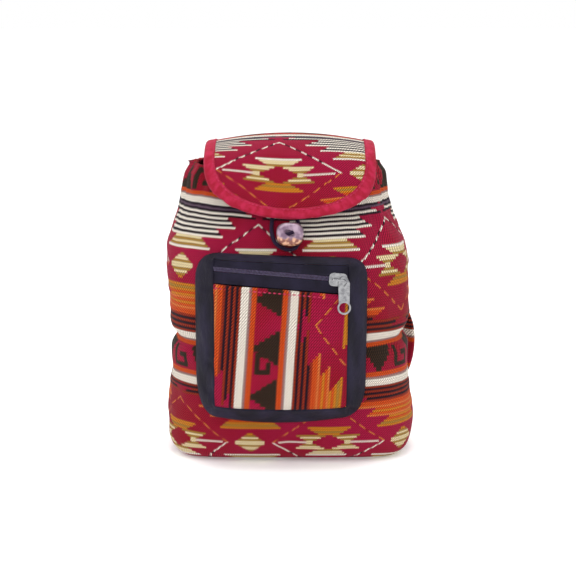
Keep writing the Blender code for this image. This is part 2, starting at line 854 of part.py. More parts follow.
# The button, its thread and its loop
def make_button(surface, thread, cord, parts, cutters):
    seat = face_y(0, BUTTON_Z, -1)
    centre_y = seat - BUTTON_STANDOFF - BUTTON_THICKNESS / 2
    size = Vector((BUTTON_WIDTH, BUTTON_THICKNESS, BUTTON_HEIGHT)) / 2
    shape = bmesh.new()
    bmesh.ops.create_uvsphere(shape, u_segments=18, v_segments=10, radius=1.0)
    for vert in shape.verts:
        x, y, z = vert.co
        full = max(abs(x), abs(y), abs(z)) ** 0.25
        uneven = 1 + 0.035 * math.sin(3.1 * x + 1.3) * math.cos(2.7 * z + 0.4)
        vert.co = Vector((x * size.x, y * size.y, z * size.z)) * (uneven / full)
        vert.co.x = max(-size.x, min(size.x, vert.co.x))
        vert.co.z = max(-size.z, min(size.z, vert.co.z))
    data = bpy.data.meshes.new("button")
    shape.to_mesh(data)
    shape.free()
    data.shade_smooth()
    button = place("button", data, surface, parts)
    button.location = (0, centre_y, BUTTON_Z)

    def plug(name, extra, front, back, surface, collection):
        """An oval bar along Y, slanted as the thread's stitch is."""
        data = bpy.data.meshes.new(name)
        shape = bmesh.new()
        made = bmesh.ops.create_cone(
            shape, cap_ends=True, segments=14, radius1=1.0, radius2=1.0, depth=back - front
        )
        wide, tall = THREAD_WIDTH / 2 + extra, THREAD_HEIGHT / 2 + extra
        for vert in made["verts"]:
            x, y, z = vert.co
            vert.co = Vector((x * wide, -z, y * tall))
        bmesh.ops.rotate(
            shape, verts=shape.verts, cent=(0, 0, 0), matrix=Matrix.Rotation(-THREAD_SLANT, 3, "Y")
        )
        bmesh.ops.translate(shape, verts=shape.verts, vec=(0, (front + back) / 2, 0))
        bmesh.ops.recalc_face_normals(shape, faces=shape.faces)
        shape.to_mesh(data)
        shape.free()
        made = place(name, data, surface, collection)
        made.location = (0, 0, BUTTON_Z + 0.0015)
        return made

    front = centre_y - BUTTON_THICKNESS / 2
    slot = plug("button_slot", GAP, front - BUTTON_THICKNESS, seat + BUTTON_THICKNESS, surface, cutters)
    join(button, [slot], "DIFFERENCE")
    plug("button_thread", 0.0, front + 0.0008, seat - GAP, thread, parts)
    route = []
    for across, up in LOOP_ROUTE:
        x = across * BUTTON_WIDTH / 2
        z = BUTTON_Z + up * BUTTON_HEIGHT / 2
        route.append(Vector((x, face_y(x, z, -1) - LOOP_DIAMETER / 2 - GAP, z)))
    tube("button_loop", spline(route, 2), LOOP_DIAMETER / 2, 2, cord, parts)


# The shoulder straps
SLOPE_STEP = 0.001


def make_strap(name, route, surface, collection):
    """A flat cloth strap, sewn to the bag's back at both ends and slack between them."""
    middle = []
    turns = []
    for row in route:
        x = row.across * BODY_WIDTH / 2
        z = row.height * BODY_HEIGHT
        section = section_at(z)
        held = max(-0.82 * section.half, min(0.82 * section.half, x))
        off = STRAP_THICKNESS / 2 + GAP + row.slack * STRAP_SLACK
        middle.append(Vector((x, face_y(held, z, 1) + off, z)))
        slope = face_y(held - SLOPE_STEP, z, 1) - face_y(held + SLOPE_STEP, z, 1)
        own = math.atan2(slope, 2 * SLOPE_STEP)
        turns.append(Vector((own + math.radians(row.turn) * math.copysign(1, row.across), 0, 0)))
    steps = 3
    path = spline(middle, steps)
    angles = spline(turns, steps)
    half, thick = STRAP_WIDTH / 2, STRAP_THICKNESS / 2
    round_over = 0.35
    section = [
        (-half, -thick * round_over),
        (-half * 0.93, -thick),
        (half * 0.93, -thick),
        (half, -thick * round_over),
        (half, thick * round_over),
        (half * 0.93, thick),
        (-half * 0.93, thick),
        (-half, thick * round_over),
    ]
    points = []
    for index, centre in enumerate(path):
        before, after = path[max(index - 1, 0)], path[min(index + 1, len(path) - 1)]
        run = (after - before).normalized()
        turn = angles[index].x
        facing = Vector((math.sin(turn), math.cos(turn), 0))
        facing = (facing - run * facing.dot(run)).normalized()
        across = run.cross(facing)
        for side, off in section:
            points.append(centre + across * side + facing * off)
    count = len(section)
    faces = [tuple(range(count)), tuple(reversed(range(len(points) - count, len(points))))]
    for row in range(len(path) - 1):
        for index in range(count):
            after = (index + 1) % count
            low, high = row * count, (row + 1) * count
            faces.append((low + index, high + index, high + after, low + after))
    data = mesh_from(name, points, faces)
    data.set_sharp_from_angle(angle=math.radians(50))
    place(name, data, surface, collection)


def main():
    clear_scene()
    parts = new_collection("mini_backpack_purse")
    cutters = new_collection("cutters", hidden=True)
    woven = material("woven_cloth", (0.45, 0.02, 0.07), 0.9)
    binding = material("binding_tape", (0.50, 0.03, 0.09), 0.7)
    nylon = material("navy_nylon", (0.02, 0.02, 0.04), 0.5)
    coil = material("zip_coil", (0.03, 0.02, 0.05), 0.4)
    metal = material("zip_metal", (0.6, 0.6, 0.62), 0.3, 1.0)
    bead = material("mottled_button", (0.35, 0.25, 0.28), 0.45)
    thread = material("dark_thread", (0.05, 0.02, 0.08), 0.8)

    make_body(woven, parts)
    make_flap(woven.copy(), parts)
    make_binding(binding, parts)
    make_button(bead, thread, thread.copy(), parts, cutters)
    make_gusset(nylon, parts)
    make_pocket_front(woven.copy(), nylon.copy(), coil, parts)
    frame = slider_frame()
    make_slider(frame, metal, parts, cutters)
    make_pull(frame, metal.copy(), parts)
    make_strap("shoulder_strap_right", RIGHT_STRAP, woven.copy(), parts)
    make_strap("shoulder_strap_left", LEFT_STRAP, woven.copy(), parts)


main()
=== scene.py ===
"""The looks of a small backpack purse of woven cloth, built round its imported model.

Metres, +Z up, front towards -Y. Cloth is cut as flat grids that are laid onto the bag's own
surfaces, and each keeps its flat place as a UV map in metres, so that the woven pattern follows
the cloth. Order: measures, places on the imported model, node arithmetic, the pattern's chart,
materials, bag, flap, cords and stitches, button, pocket, zip, straps, floor, lights and camera.
"""

import math
from collections import namedtuple

import bmesh
import bpy
from mathutils import Matrix, Vector, noise
from mathutils.bvhtree import BVHTree


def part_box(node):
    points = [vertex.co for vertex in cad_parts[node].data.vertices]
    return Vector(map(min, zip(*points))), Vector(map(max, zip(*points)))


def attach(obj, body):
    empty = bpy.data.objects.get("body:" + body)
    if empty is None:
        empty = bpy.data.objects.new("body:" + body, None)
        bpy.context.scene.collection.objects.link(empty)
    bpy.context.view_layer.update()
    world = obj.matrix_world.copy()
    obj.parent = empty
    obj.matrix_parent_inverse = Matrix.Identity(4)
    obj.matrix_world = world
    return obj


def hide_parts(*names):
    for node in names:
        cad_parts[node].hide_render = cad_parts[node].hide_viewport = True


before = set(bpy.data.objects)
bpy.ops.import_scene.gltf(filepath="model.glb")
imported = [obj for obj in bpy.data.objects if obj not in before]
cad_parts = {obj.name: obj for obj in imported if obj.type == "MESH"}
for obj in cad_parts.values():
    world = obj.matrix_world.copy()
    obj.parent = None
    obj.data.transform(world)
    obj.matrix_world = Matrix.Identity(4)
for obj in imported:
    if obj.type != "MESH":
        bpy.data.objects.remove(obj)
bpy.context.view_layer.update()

# Thickness of the cloths, how far out a search for the bag's surface starts, and how near two
# points of a seam are when they are one
CLOTH = 0.0020
NYLON = 0.0010
TAPE = 0.0005
REACH = 0.4
SAME_PLACE = 1e-5

# The bag's cloth
BAG_COLUMNS = 240
BAG_ROWS = 120
BASE_ROWS = 8
RAYS = 360
LOWEST_ROW = 0.0004
RIM_DROP = 0.0015
MOUTH_DIP = 0.007
GATHER_FROM = 0.72
RIM_DRAW = 0.0045
RIM_DRAW_FROM = 0.226
BASE_LIFT = 0.0035
BASE_LIFT_HALF_WIDTH = 0.085
BASE_DOME = 0.0014
BASE_CLOTH = 0.05
HEM_ROWS = 3

# Its folds: pleats at the rim, soft hollows, the drawn-in waist and fine creases
PLEATS = 46
PLEAT_DEPTH = 0.0014
HOLLOW_DEPTH = 0.0024
HOLLOW_SCALE = 24
WAIST_Z = 0.101
WAIST_DEPTH = 0.0042
WAIST_REACH = 0.0065
CREASE_DEPTH = 0.0011

# Where the pattern lies on it
BAG_GIRTH = 0.568
BAG_COLUMN = 0.0336
BAG_TWIST = 0.036
BAG_BAND = 0.0897

# Where the cloth is fuller than the bag's height shows: a height, and the extra length that is
# gathered up below it
Fullness = namedtuple("Fullness", "height extra")
FULLNESS = [
    Fullness(0.000, -0.0105),
    Fullness(0.018, -0.0080),
    Fullness(0.060, -0.0025),
    Fullness(0.085, 0.0),
    Fullness(0.165, 0.0),
    Fullness(0.190, 0.0035),
    Fullness(0.210, 0.0090),
    Fullness(0.220, 0.0150),
    Fullness(0.245, 0.0120),
]

# The flap and its tape
FLAP_WIDTH = 0.138
FLAP_SIDE_LENGTH = 0.099
FLAP_ROUND = 0.061
FLAP_END_POWER = 1.05
FLAP_INSET = 0.0020
FLAP_SIDE_MARGIN = 0.0035
FLAP_LINES = 36
FLAP_COLUMNS = 60
FLAP_ROWS = 80
FLAP_PIVOT = Vector((0, -0.004, 0.222))
FLAP_SWEEP = (-14, 210)
FLAP_SWEEP_STEPS = 180
TAPE_WIDTH = 0.009
TAPE_FOLD = 0.0008
TAPE_START = 0.12
TAPE_FLAT_WIDTH = 0.022
TAPE_LENGTH = 0.36
TAPE_STITCH_INSET = 0.0014
TAPE_STITCH_OUT = 0.0009
FLAP_COLUMN = -0.0090
FLAP_MOTIF = 0.1245
FLAP_FULLNESS = 1.22
FLAP_SIDE_DRAW = 0.21

# The button, its thread and the loop
BUTTON_WIDTH = 0.0225
BUTTON_HEIGHT = 0.0195
BUTTON_THICKNESS = 0.0085
BUTTON_Z = 0.192
BUTTON_STANDOFF = 0.0050
THREAD_Z = BUTTON_Z + 0.0015
THREAD_HALF = 0.0043
THREAD_SLANT = math.radians(22)
STRAND_RADIUS = 0.0007
SLOT_HALF_LENGTH = THREAD_HALF + 0.0008
SLOT_HALF_HEIGHT = 0.0023
SLOT_DEPTH = 0.0028
LOOP_DIAMETER = 0.0032
LOOP_FULLNESS = 1.12
LOOP_CLEARANCE = 0.0014

# The loop's way from under the flap round the button, in shares of the button's half sizes from
# its centre
LOOP_ROUTE = [
    (-1.00, 2.30),
    (-1.18, 1.45),
    (-1.30, 0.70),
    (-1.28, -0.05),
    (-1.04, -0.75),
    (-0.52, -1.18),
    (0.00, -1.30),
    (0.42, -1.10),
    (0.60, -0.60),
    (0.62, 0.10),
    (0.58, 0.80),
    (0.45, 1.50),
    (0.38, 2.30),
]

# The pocket and its zip
POCKET_X = -0.007
POCKET_Z = 0.1075
POCKET_WIDTH = 0.137
POCKET_HEIGHT = 0.134
POCKET_DEPTH = 0.016
POCKET_CROWN = 0.0015
SIDE_FLARE = 0.015
TOP_FLARE = 0.003
BOTTOM_FLARE = 0.012
POCKET_SAG = 0.0035
PANEL_CORNER = 0.0015
PANEL_DROP = 0.0118
EDGE_INSET = 0.0002
ZIP_BELOW_TOP = 0.0076
ZIP_SAG = 0.0040
COIL_WIDTH = 0.0021
COIL_OVERLAP = 0.0002
COIL_END = 0.0375
TOOTH_PITCH = 0.00105
TOOTH_DEPTH = 0.0008
TOOTH_LEAN = math.radians(10)
PANEL_BAND = -0.0182
PANEL_LEAN = 0.07
PANEL_COLUMN = 0.0525
PANEL_PUFF = 0.0012
PANEL_RIPPLE = 0.0011
HEM_HEIGHT = 0.0009
HEM_INSET = 0.0030
BAND_LIP = 0.0006
BAND_RIPPLE = 0.0007

# The pocket's corners from the top left, clockwise: shares of its half sizes, and how far the
# corner's curve reaches along the side before it and the side after it, in metres
Corner = namedtuple("Corner", "across up before after")
POCKET_CORNERS = [
    Corner(-1.00, 1.030, 0.024, 0.021),
    Corner(1.00, 0.963, 0.017, 0.017),
    Corner(0.985, -0.985, 0.030, 0.022),
    Corner(-1.005, -0.985, 0.019, 0.040),
]

# The pocket wall's section from the bag to the front: how far towards the front outline, how far
# out, and how much it swells sideways in metres
Section = namedtuple("Section", "towards out swell")
WALL_SECTION = [
    Section(0.00, 0.02, 0.0000),
    Section(-0.01, 0.10, 0.0003),
    Section(-0.01, 0.20, 0.0006),
    Section(0.02, 0.30, 0.0008),
    Section(0.09, 0.40, 0.0010),
    Section(0.20, 0.51, 0.0012),
    Section(0.32, 0.61, 0.0012),
    Section(0.44, 0.69, 0.0010),
    Section(0.58, 0.78, 0.0008),
    Section(0.72, 0.87, 0.0006),
    Section(0.84, 0.95, 0.0004),
    Section(0.93, 1.02, 0.0002),
    Section(1.00, 1.05, 0.0000),
    Section(1.05, 1.00, 0.0000),
    Section(1.05, 0.90, 0.0000),
]

# Its creases at the corners, its ripples, the heights where its left side is pinched, and the
# length and width of its flat cloth
CREASE_DROP = 0.0030
CREASE_RIDGE = 0.0016
WALL_RIPPLE = 0.0009
PINCHES = (0.1505, 0.0890, 0.0655)
PINCH_DEPTH = 0.0024
PINCH_REACH = 0.0016
WALL_LENGTH = 0.52
WALL_WIDTH = 0.03

# The shoulder straps
STRAP_BAND = 0.078
STRAP_FULLNESS = 1.12
STRAP_RIPPLE = 0.0008
STRAP_STEPS = 12

# The view, in the photo's 576 pixels, and the studio
IMAGE = 576
AIM_COLUMN = 290
AIM_ROW = 296
LENS = 85.6
CAMERA_DISTANCE = 1.15
CAMERA_ELEVATION = math.radians(12)
CAMERA_AIM = Vector((0, 0, 0.13))
FLOOR_SIZE = 20.0
FLOOR_Z = -0.0002
LAMP_SIZE = 0.9
LAMP_AIM = Vector((0, 0, 0.12))


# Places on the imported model
def tree_of(*nodes):
    """A search tree over the surfaces of CAD nodes."""
    shape = bmesh.new()
    for node in nodes:
        shape.from_mesh(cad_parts[node].data)
    tree = BVHTree.FromBMesh(shape)
    shape.free()
    return tree


bag_tree = tree_of("bag_body")
flap_tree = tree_of("flap")
BAG_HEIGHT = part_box("bag_body")[1].z


def mix(low, high, share):
    return low + (high - low) * share


def smoothstep(low, high, value):
    share = min(max((value - low) / (high - low), 0.0), 1.0)
    return share * share * (3 - 2 * share)


def out_to(tree, centre, direction):
    """The outer surface that a ray from outside meets on its way in to a centre."""
    return tree.ray_cast(centre + direction * REACH, -direction, REACH)[0]


def bag_front(x, z):
    """The bag's front surface at x and z."""
    return out_to(bag_tree, Vector((x, 0, z)), Vector((0, -1, 0)))


def even_points(line, count):
    """Points spaced evenly along a line of points."""
    lengths = [0.0]
    for start, end in zip(line, line[1:]):
        lengths.append(lengths[-1] + (end - start).length)
    found = []
    step = 0
    for index in range(count + 1):
        target = lengths[-1] * index / count
        while step < len(line) - 2 and lengths[step + 1] < target:
            step += 1
        span = max(lengths[step + 1] - lengths[step], 1e-9)
        found.append(line[step].lerp(line[step + 1], (target - lengths[step]) / span))
    return found


# Making pieces
def new_object(name, data):
    """An object of this data, put into the scene."""
    made = bpy.data.objects.new(name, data)
    bpy.context.scene.collection.objects.link(made)
    return made


def finish_piece(name, shape, surface, body, slot, *stands_for):
    """The object of a finished bmesh: it rides on its body and stands for CAD nodes."""
    data = bpy.data.meshes.new(name)
    shape.to_mesh(data)
    shape.free()
    data.shade_smooth()
    data.materials.append(surface)
    piece = new_object(name, data)
    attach(piece, body)
    if stands_for:
        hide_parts(*stands_for)
    return piece


def wall(piece, thickness, offset=-1.0):
    """Give an open surface its thickness."""
    step = piece.modifiers.new("wall", "SOLIDIFY")
    step.thickness = thickness
    step.offset = offset
    step.use_rim = True
    step.use_even_offset = True
    return step


def soften(piece):
    """Round a piece's cloth with one level of subdivision."""
    step = piece.modifiers.new("soft", "SUBSURF")
    step.levels = 1
    step.render_levels = 1


def cloth_grid(columns, rows, lay, measure):
    """A grid of cloth, with across and up from 0 to 1: lay(across, up) gives a point's place, and
    measure(across, up) its x and y on the flat cloth."""
    shape = bmesh.new()
    bmesh.ops.create_grid(shape, x_segments=columns, y_segments=rows, size=0.5)
    flat = shape.loops.layers.uv.new("cloth")
    for face in shape.faces:
        for loop in face.loops:
            loop[flat].uv = measure(loop.vert.co.x + 0.5, loop.vert.co.y + 0.5)
    for vert in shape.verts:
        vert.co = lay(vert.co.x + 0.5, vert.co.y + 0.5)
    return shape


def face_out(shape):
    bmesh.ops.recalc_face_normals(shape, faces=shape.faces)


def close_seams(shape):
    """Merge the points that lie in one place, and take out the faces that have no area."""
    bmesh.ops.remove_doubles(shape, verts=shape.verts, dist=SAME_PLACE)
    bmesh.ops.dissolve_degenerate(shape, edges=shape.edges, dist=SAME_PLACE)


def copy_of(node, join=True):
    """A bmesh copy of a CAD node, its loose triangles merged and joined to quads."""
    shape = bmesh.new()
    shape.from_mesh(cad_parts[node].data)
    bmesh.ops.remove_doubles(shape, verts=shape.verts, dist=1e-6)
    if join:
        bmesh.ops.join_triangles(
            shape,
            faces=shape.faces,
            angle_face_threshold=math.radians(40),
            angle_shape_threshold=math.radians(60),
        )
    return shape


# Node arithmetic
def operation(kind):
    """A method of Term that puts a Math node of this kind behind it."""

    def act(self, *others):
        node = self.tree.nodes.new("ShaderNodeMath")
        node.operation = kind
        for slot, value in zip(node.inputs, (self, *others)):
            feed(self.tree, slot, value)
        return Term(self.tree, node.outputs[0])

    return act


class Term:
    """A value in a material's node tree, so that a pattern can be written as plain arithmetic."""

    __add__ = operation("ADD")
    __sub__ = operation("SUBTRACT")
    __mul__ = operation("MULTIPLY")
    __truediv__ = operation("DIVIDE")
    __lt__ = operation("LESS_THAN")
    __gt__ = operation("GREATER_THAN")
    __abs__ = operation("ABSOLUTE")
    floor = operation("FLOOR")
    fract = operation("FRACT")
    fold = operation("PINGPONG")
    larger = operation("MAXIMUM")

    def __init__(self, tree, socket):
        self.tree = tree
        self.socket = socket

    def inverse(self):
        return self * -1.0 + 1.0

    def between(self, low, high):
        return (self > low) * (self < high)

    def rise(self, low, high):
        """0 below low, 1 above high, and a smooth rise between."""
        node = self.tree.nodes.new("ShaderNodeMapRange")
        node.interpolation_type = "SMOOTHSTEP"
        feed(self.tree, node.inputs["Value"], self)
        node.inputs["From Min"].default_value = low
        node.inputs["From Max"].default_value = high
        return Term(self.tree, node.outputs["Result"])

    def color_steps(self, colors):
        """One flat colour for each equal step from 0 to 1."""
        node = self.tree.nodes.new("ShaderNodeValToRGB")
        node.color_ramp.interpolation = "CONSTANT"
        feed(self.tree, node.inputs["Fac"], self)
        node.color_ramp.elements.remove(node.color_ramp.elements[1])
        node.color_ramp.elements[0].color = colors[0]
        for index, color in enumerate(colors[1:], start=1):
            if color != colors[index - 1]:
                node.color_ramp.elements.new(index / len(colors)).color = color
        return Term(self.tree, node.outputs["Color"])

    def steps(self, values, scale):
        """One number for each equal step from 0 to 1."""
        greys = [(value / scale, value / scale, value / scale, 1.0) for value in values]
        return self.color_steps(greys) * scale


def feed(tree, slot, value):
    if isinstance(value, Term):
        tree.links.new(value.socket, slot)
    else:
        slot.default_value = value


def blend(tree, share, low, high, kind="MIX"):
    """Two colours mixed by a share."""
    node = tree.nodes.new("ShaderNodeMix")
    node.data_type = "RGBA"
    node.blend_type = kind
    feed(tree, node.inputs[0], share)
    feed(tree, node.inputs[6], low)
    feed(tree, node.inputs[7], high)
    return Term(tree, node.outputs[2])


def blend_value(tree, share, low, high):
    """Two numbers mixed by a share."""
    node = tree.nodes.new("ShaderNodeMix")
    node.data_type = "FLOAT"
    feed(tree, node.inputs[0], share)
    feed(tree, node.inputs[2], low)
    feed(tree, node.inputs[3], high)
    return Term(tree, node.outputs[0])


def grey(tree, value):
    """A number as a grey colour."""
    node = tree.nodes.new("ShaderNodeCombineColor")
    for slot in node.inputs:
        feed(tree, slot, value)
    return Term(tree, node.outputs[0])


def shade_by(tree, color, value):
    """A colour made darker or lighter by a number."""
    return blend(tree, 1.0, color, grey(tree, value), "MULTIPLY")


def speckle(tree, place, scale, detail=2.0, stretch=(1, 1, 1)):
    """Soft noise from 0 to 1 at a place."""
    turn = tree.nodes.new("ShaderNodeMapping")
    turn.inputs["Scale"].default_value = stretch
    tree.links.new(place, turn.inputs["Vector"])
    node = tree.nodes.new("ShaderNodeTexNoise")
    node.inputs["Scale"].default_value = scale
    node.inputs["Detail"].default_value = detail
    tree.links.new(turn.outputs["Vector"], node.inputs["Vector"])
    return Term(tree, node.outputs["Fac"])


def new_surface(name, roughness, metallic=0.0):
    """A material with its tree, its shader, and the piece's own coordinates."""
    made = bpy.data.materials.new(name)
    made.use_nodes = True
    tree = made.node_tree
    shader = tree.nodes["Principled BSDF"]
    shader.inputs["Roughness"].default_value = roughness
    shader.inputs["Metallic"].default_value = metallic
    place = tree.nodes.new("ShaderNodeTexCoord")
    return made, tree, shader, place


def paint(tree, shader, color, levels):
    """Link the shader's colour and set its other levels by their names."""
    tree.links.new(color.socket, shader.inputs["Base Color"])
    for name, level in levels.items():
        shader.inputs[name].default_value = level


def cloth_place(tree):
    """The flat cloth's own x and y in millimetres, and its UV socket."""
    source = tree.nodes.new("ShaderNodeUVMap")
    source.uv_map = "cloth"
    parts = tree.nodes.new("ShaderNodeSeparateXYZ")
    tree.links.new(source.outputs["UV"], parts.inputs["Vector"])
    across = Term(tree, parts.outputs["X"]) * 1000.0
    up = Term(tree, parts.outputs["Y"]) * 1000.0
    return across, up, source.outputs["UV"]


def relief(tree, shader, height, depth, strength):
    """Bump from a height from 0 to 1, depth in metres."""
    node = tree.nodes.new("ShaderNodeBump")
    node.inputs["Strength"].default_value = strength
    node.inputs["Distance"].default_value = depth
    feed(tree, node.inputs["Height"], height)
    tree.links.new(node.outputs["Normal"], shader.inputs["Normal"])


def rgb(red, green, blue):
    """A display colour from 0 to 255 as the linear colour that a node takes."""
    linear = []
    for part in (red, green, blue):
        share = part / 255
        linear.append(((share + 0.055) / 1.055) ** 2.4 if part > 10 else share / 12.92)
    return (*linear, 1.0)


# The woven cloth's pattern, as a weaver charts it. Sizes are in millimetres of cloth.
YARN = {
    "crimson": rgb(152, 8, 36),
    "pink": rgb(166, 12, 60),
    "white": rgb(236, 226, 212),
    "cream": rgb(226, 206, 160),
    "olive": rgb(160, 118, 44),
    "gold": rgb(200, 122, 26),
    "peach": rgb(212, 112, 52),
    "orange": rgb(204, 74, 20),
    "rust": rgb(140, 40, 18),
    "mauve": rgb(150, 112, 108),
    "black": rgb(26, 8, 24),
    "dotted": rgb(92, 70, 88),
    "brown": rgb(48, 32, 20),
}
ACROSS = 138.0
BAND_TO_BAND = 154.0
HALF = ACROSS / 2
MIDWAY = BAND_TO_BAND / 2
SLANT_PITCH = 2.1
LATTICE_WIDE = 50.0
LATTICE_TALL = 39.0

# One line is one weft row, outwards from the middle of a row of motifs to the middle of a hooked
# band. reach is how far the stepped wedge goes from its column's middle; cool and warm are the
# yarns on the side of the black and white rows and on the side of the orange ones; inner and outer
# bound the winged motif from its own middle.
Row = namedtuple("Row", "reach cool warm inner outer", defaults=(0.0, 0.0))
CHART = [
    Row(12.5, "cream", "cream", 14.5, 20.0),
    Row(10.0, "olive", "olive", 11.0, 22.5),
    Row(7.5, "cream", "cream", 7.5, 25.5),
    Row(5.0, "cream", "olive", 3.5, 28.5),
    Row(2.5, "olive", "gold", 0.0, 10.0),
    Row(0.0, "cream", "olive", 0.0, 13.0),
    Row(0.0, "cream", "gold", 0.0, 16.0),
    Row(26.0, "white", "gold", 0.0, 19.0),
    Row(23.5, "olive", "olive"),
    Row(21.0, "cream", "gold"),
    Row(18.5, "olive", "orange"),
    Row(16.0, "cream", "gold"),
    Row(36.0, "white", "peach"),
    Row(33.5, "black", "orange"),
    Row(31.0, "white", "gold"),
    Row(28.5, "black", "orange"),
    Row(47.0, "white", "peach"),
    Row(44.5, "black", "orange"),
    Row(42.0, "white", "orange"),
    Row(39.5, "black", "rust"),
    Row(37.0, "white", "black"),
    Row(66.0, "black", "rust"),
    Row(61.0, "white", "black"),
    Row(56.0, "black", "rust"),
    Row(70.0, "dotted", "black"),
    Row(66.5, "black", "rust"),
    *[Row(99.0, "white", "white")] * 3,
    Row(99.0, "mauve", "mauve"),
    *[Row(99.0, "orange", "orange")] * 2,
    *[Row(99.0, "brown", "brown")] * 5,
]
WEFT = MIDWAY / len(CHART)
BAND_ROWS = 5
TOOTH_STEPS = (2.8, 2.8, 5.6, 5.6, 8.4, 8.4, 11.2, 11.2, 14.0, 14.0)

# The hook between two teeth, as bars: left, right, low and high from its middle
Bar = namedtuple("Bar", "left right low high")
HOOK = [
    Bar(-9.0, -5.0, -8.6, 8.6),
    Bar(-9.0, 9.0, -8.6, -4.6),
    Bar(5.0, 9.0, -8.6, 4.4),
    Bar(-0.6, 9.0, 0.6, 4.4),
]


def woven_cloth(name, lean_across, lean_up, spacing, tooth_at, hook_at):
    """The patterned cloth: stripes, stepped wedges, winged motifs and a dashed lattice on crimson
    twill. The leans say how the twill's slanted floats run. The brown teeth stand at a spacing from
    one place, and a hook stands at a share of every second gap."""
    made, tree, shader, _ = new_surface(name, 0.92)
    across, up, flat = cloth_place(tree)
    drift = speckle(tree, flat, 9.0, detail=3.0)
    slip = speckle(tree, flat, 60.0, detail=1.0)
    across = across + (slip - 0.5) * 3.0
    slant = ((across * lean_across + up * lean_up) / SLANT_PITCH).fract()
    ridge = abs(slant - 0.5) * 2.0
    jagged = up + (ridge - 0.5) * 1.5 + (drift - 0.5) * 2.0
    cell = (jagged / BAND_TO_BAND).floor()
    shift = (cell / 2.0).fract() * (2.0 * HALF)
    from_band = jagged.fold(BAND_TO_BAND)
    from_motif = abs(from_band - MIDWAY)
    cool = from_band > MIDWAY
    step = from_motif / MIDWAY
    wedge = (across + shift).fold(HALF)
    wing = wedge * -1.0 + HALF

    reach = step.steps([row.reach for row in CHART], 100.0)
    inner = step.steps([row.inner for row in CHART], 100.0)
    outer = step.steps([row.outer for row in CHART], 100.0)
    figured = (wedge < reach).larger((wing > inner) * (wing < outer))
    cool_yarn = step.color_steps([YARN[row.cool] for row in CHART])
    warm_yarn = step.color_steps([YARN[row.warm] for row in CHART])
    yarn = blend(tree, cool, warm_yarn, cool_yarn)

    ground = blend(tree, drift.rise(0.38, 0.62), YARN["crimson"], YARN["pink"])
    color = blend(tree, figured, ground, yarn)

    # The lattice of dashed lines round each winged motif, and the thin line across its middle
    lattice = abs(wing / LATTICE_WIDE + from_motif / LATTICE_TALL - 1.0) < 0.021
    dash = (wing / 9.0).fract()
    cool_dash = blend(tree, (dash > 0.5) * (from_motif > 12.0), YARN["white"], YARN["black"])
    warm_dash = blend(tree, dash > 0.62, YARN["peach"], YARN["crimson"])
    color = blend(tree, lattice, color, blend(tree, cool, warm_dash, cool_dash))
    thin = (from_motif < 0.9) * wing.between(20.0, 45.0)
    color = blend(tree, thin, color, YARN["white"])

    # The hooked band: brown teeth that hang from its upper edge, with a hook between two of them
    pair = ((across - tooth_at + spacing / 2) / (2.0 * spacing)).fract() * (2.0 * spacing)
    beside = abs(pair.fold(spacing) - spacing / 2)
    lower = (jagged / (2.0 * BAND_TO_BAND)).fract()
    signed = (lower > 0.75) * (-2.0 * BAND_TO_BAND) + lower * (2.0 * BAND_TO_BAND)
    near_lower = abs(signed) < 2.0 * BAND_ROWS * WEFT
    height = blend_value(tree, near_lower, signed * -1.0 + BAND_TO_BAND, signed)
    tooth = ((height + BAND_ROWS * WEFT) / (2.0 * BAND_ROWS * WEFT)).steps(TOOTH_STEPS, 20.0)
    brown = beside < tooth
    hooked = pair - spacing * (0.5 + hook_at)
    for bar in HOOK:
        inside = hooked.between(bar.left, bar.right) * height.between(bar.low, bar.high)
        brown = brown.larger(inside)
    in_band = from_motif > (len(CHART) - BAND_ROWS) * WEFT
    color = blend(tree, in_band * brown.inverse(), color, ground)

    # Twill: the slanted floats are painted lighter on their crowns and darker at their edges, as
    # painted shade that on the figured rows is partly the dark warp showing through; painted shade
    # in the gaps between weft rows; and fibres that differ a little
    plain_ground = figured.larger(in_band * brown).inverse()
    figure_shade = ridge.rise(0.10, 0.60) + 0.16
    ground_shade = ridge.rise(0.05, 0.75) * 0.78 + 0.32
    shade = blend_value(tree, plain_ground, figure_shade, ground_shade)
    fibre = speckle(tree, flat, 900.0, detail=1.0, stretch=(0.35, 1.0, 1.0)) * 0.35 + 0.83
    weft_row = abs((jagged / WEFT).fract() - 0.5) * 2.0
    # The darkening between weft rows is painted shade
    gap = weft_row.rise(0.55, 1.0).inverse() * 0.55 + 0.45
    color = shade_by(tree, color, shade * fibre * gap)
    relief(tree, shader, ridge * 0.7 + weft_row.inverse() * 0.35, 0.0006, 0.8)
    levels = {"Specular IOR Level": 0.12, "Sheen Weight": 0.04, "Sheen Roughness": 0.6}
    paint(tree, shader, color, levels)
    return made


# Materials
def binding_tape():
    """Plain crimson cotton tape, cut on the bias."""
    made, tree, shader, _ = new_surface("binding_tape", 0.88)
    across, up, flat = cloth_place(tree)
    rib = abs(((across + up) / 0.9).fract() - 0.5) * 2.0
    cross = abs(((across - up) / 0.9).fract() - 0.5) * 2.0
    worn = speckle(tree, flat, 150.0, detail=4.0)
    color = blend(tree, worn.rise(0.35, 0.65), rgb(164, 14, 46), rgb(190, 32, 72))
    # The weave's ribs are painted lighter on the threads and darker between them: painted shade
    color = shade_by(tree, color, rib * 0.14 + cross * 0.12 + 0.78)
    relief(tree, shader, rib * 0.5 + cross * 0.4 + worn, 0.0005, 0.7)
    paint(tree, shader, color, {"Specular IOR Level": 0.25, "Sheen Weight": 0.05})
    return made


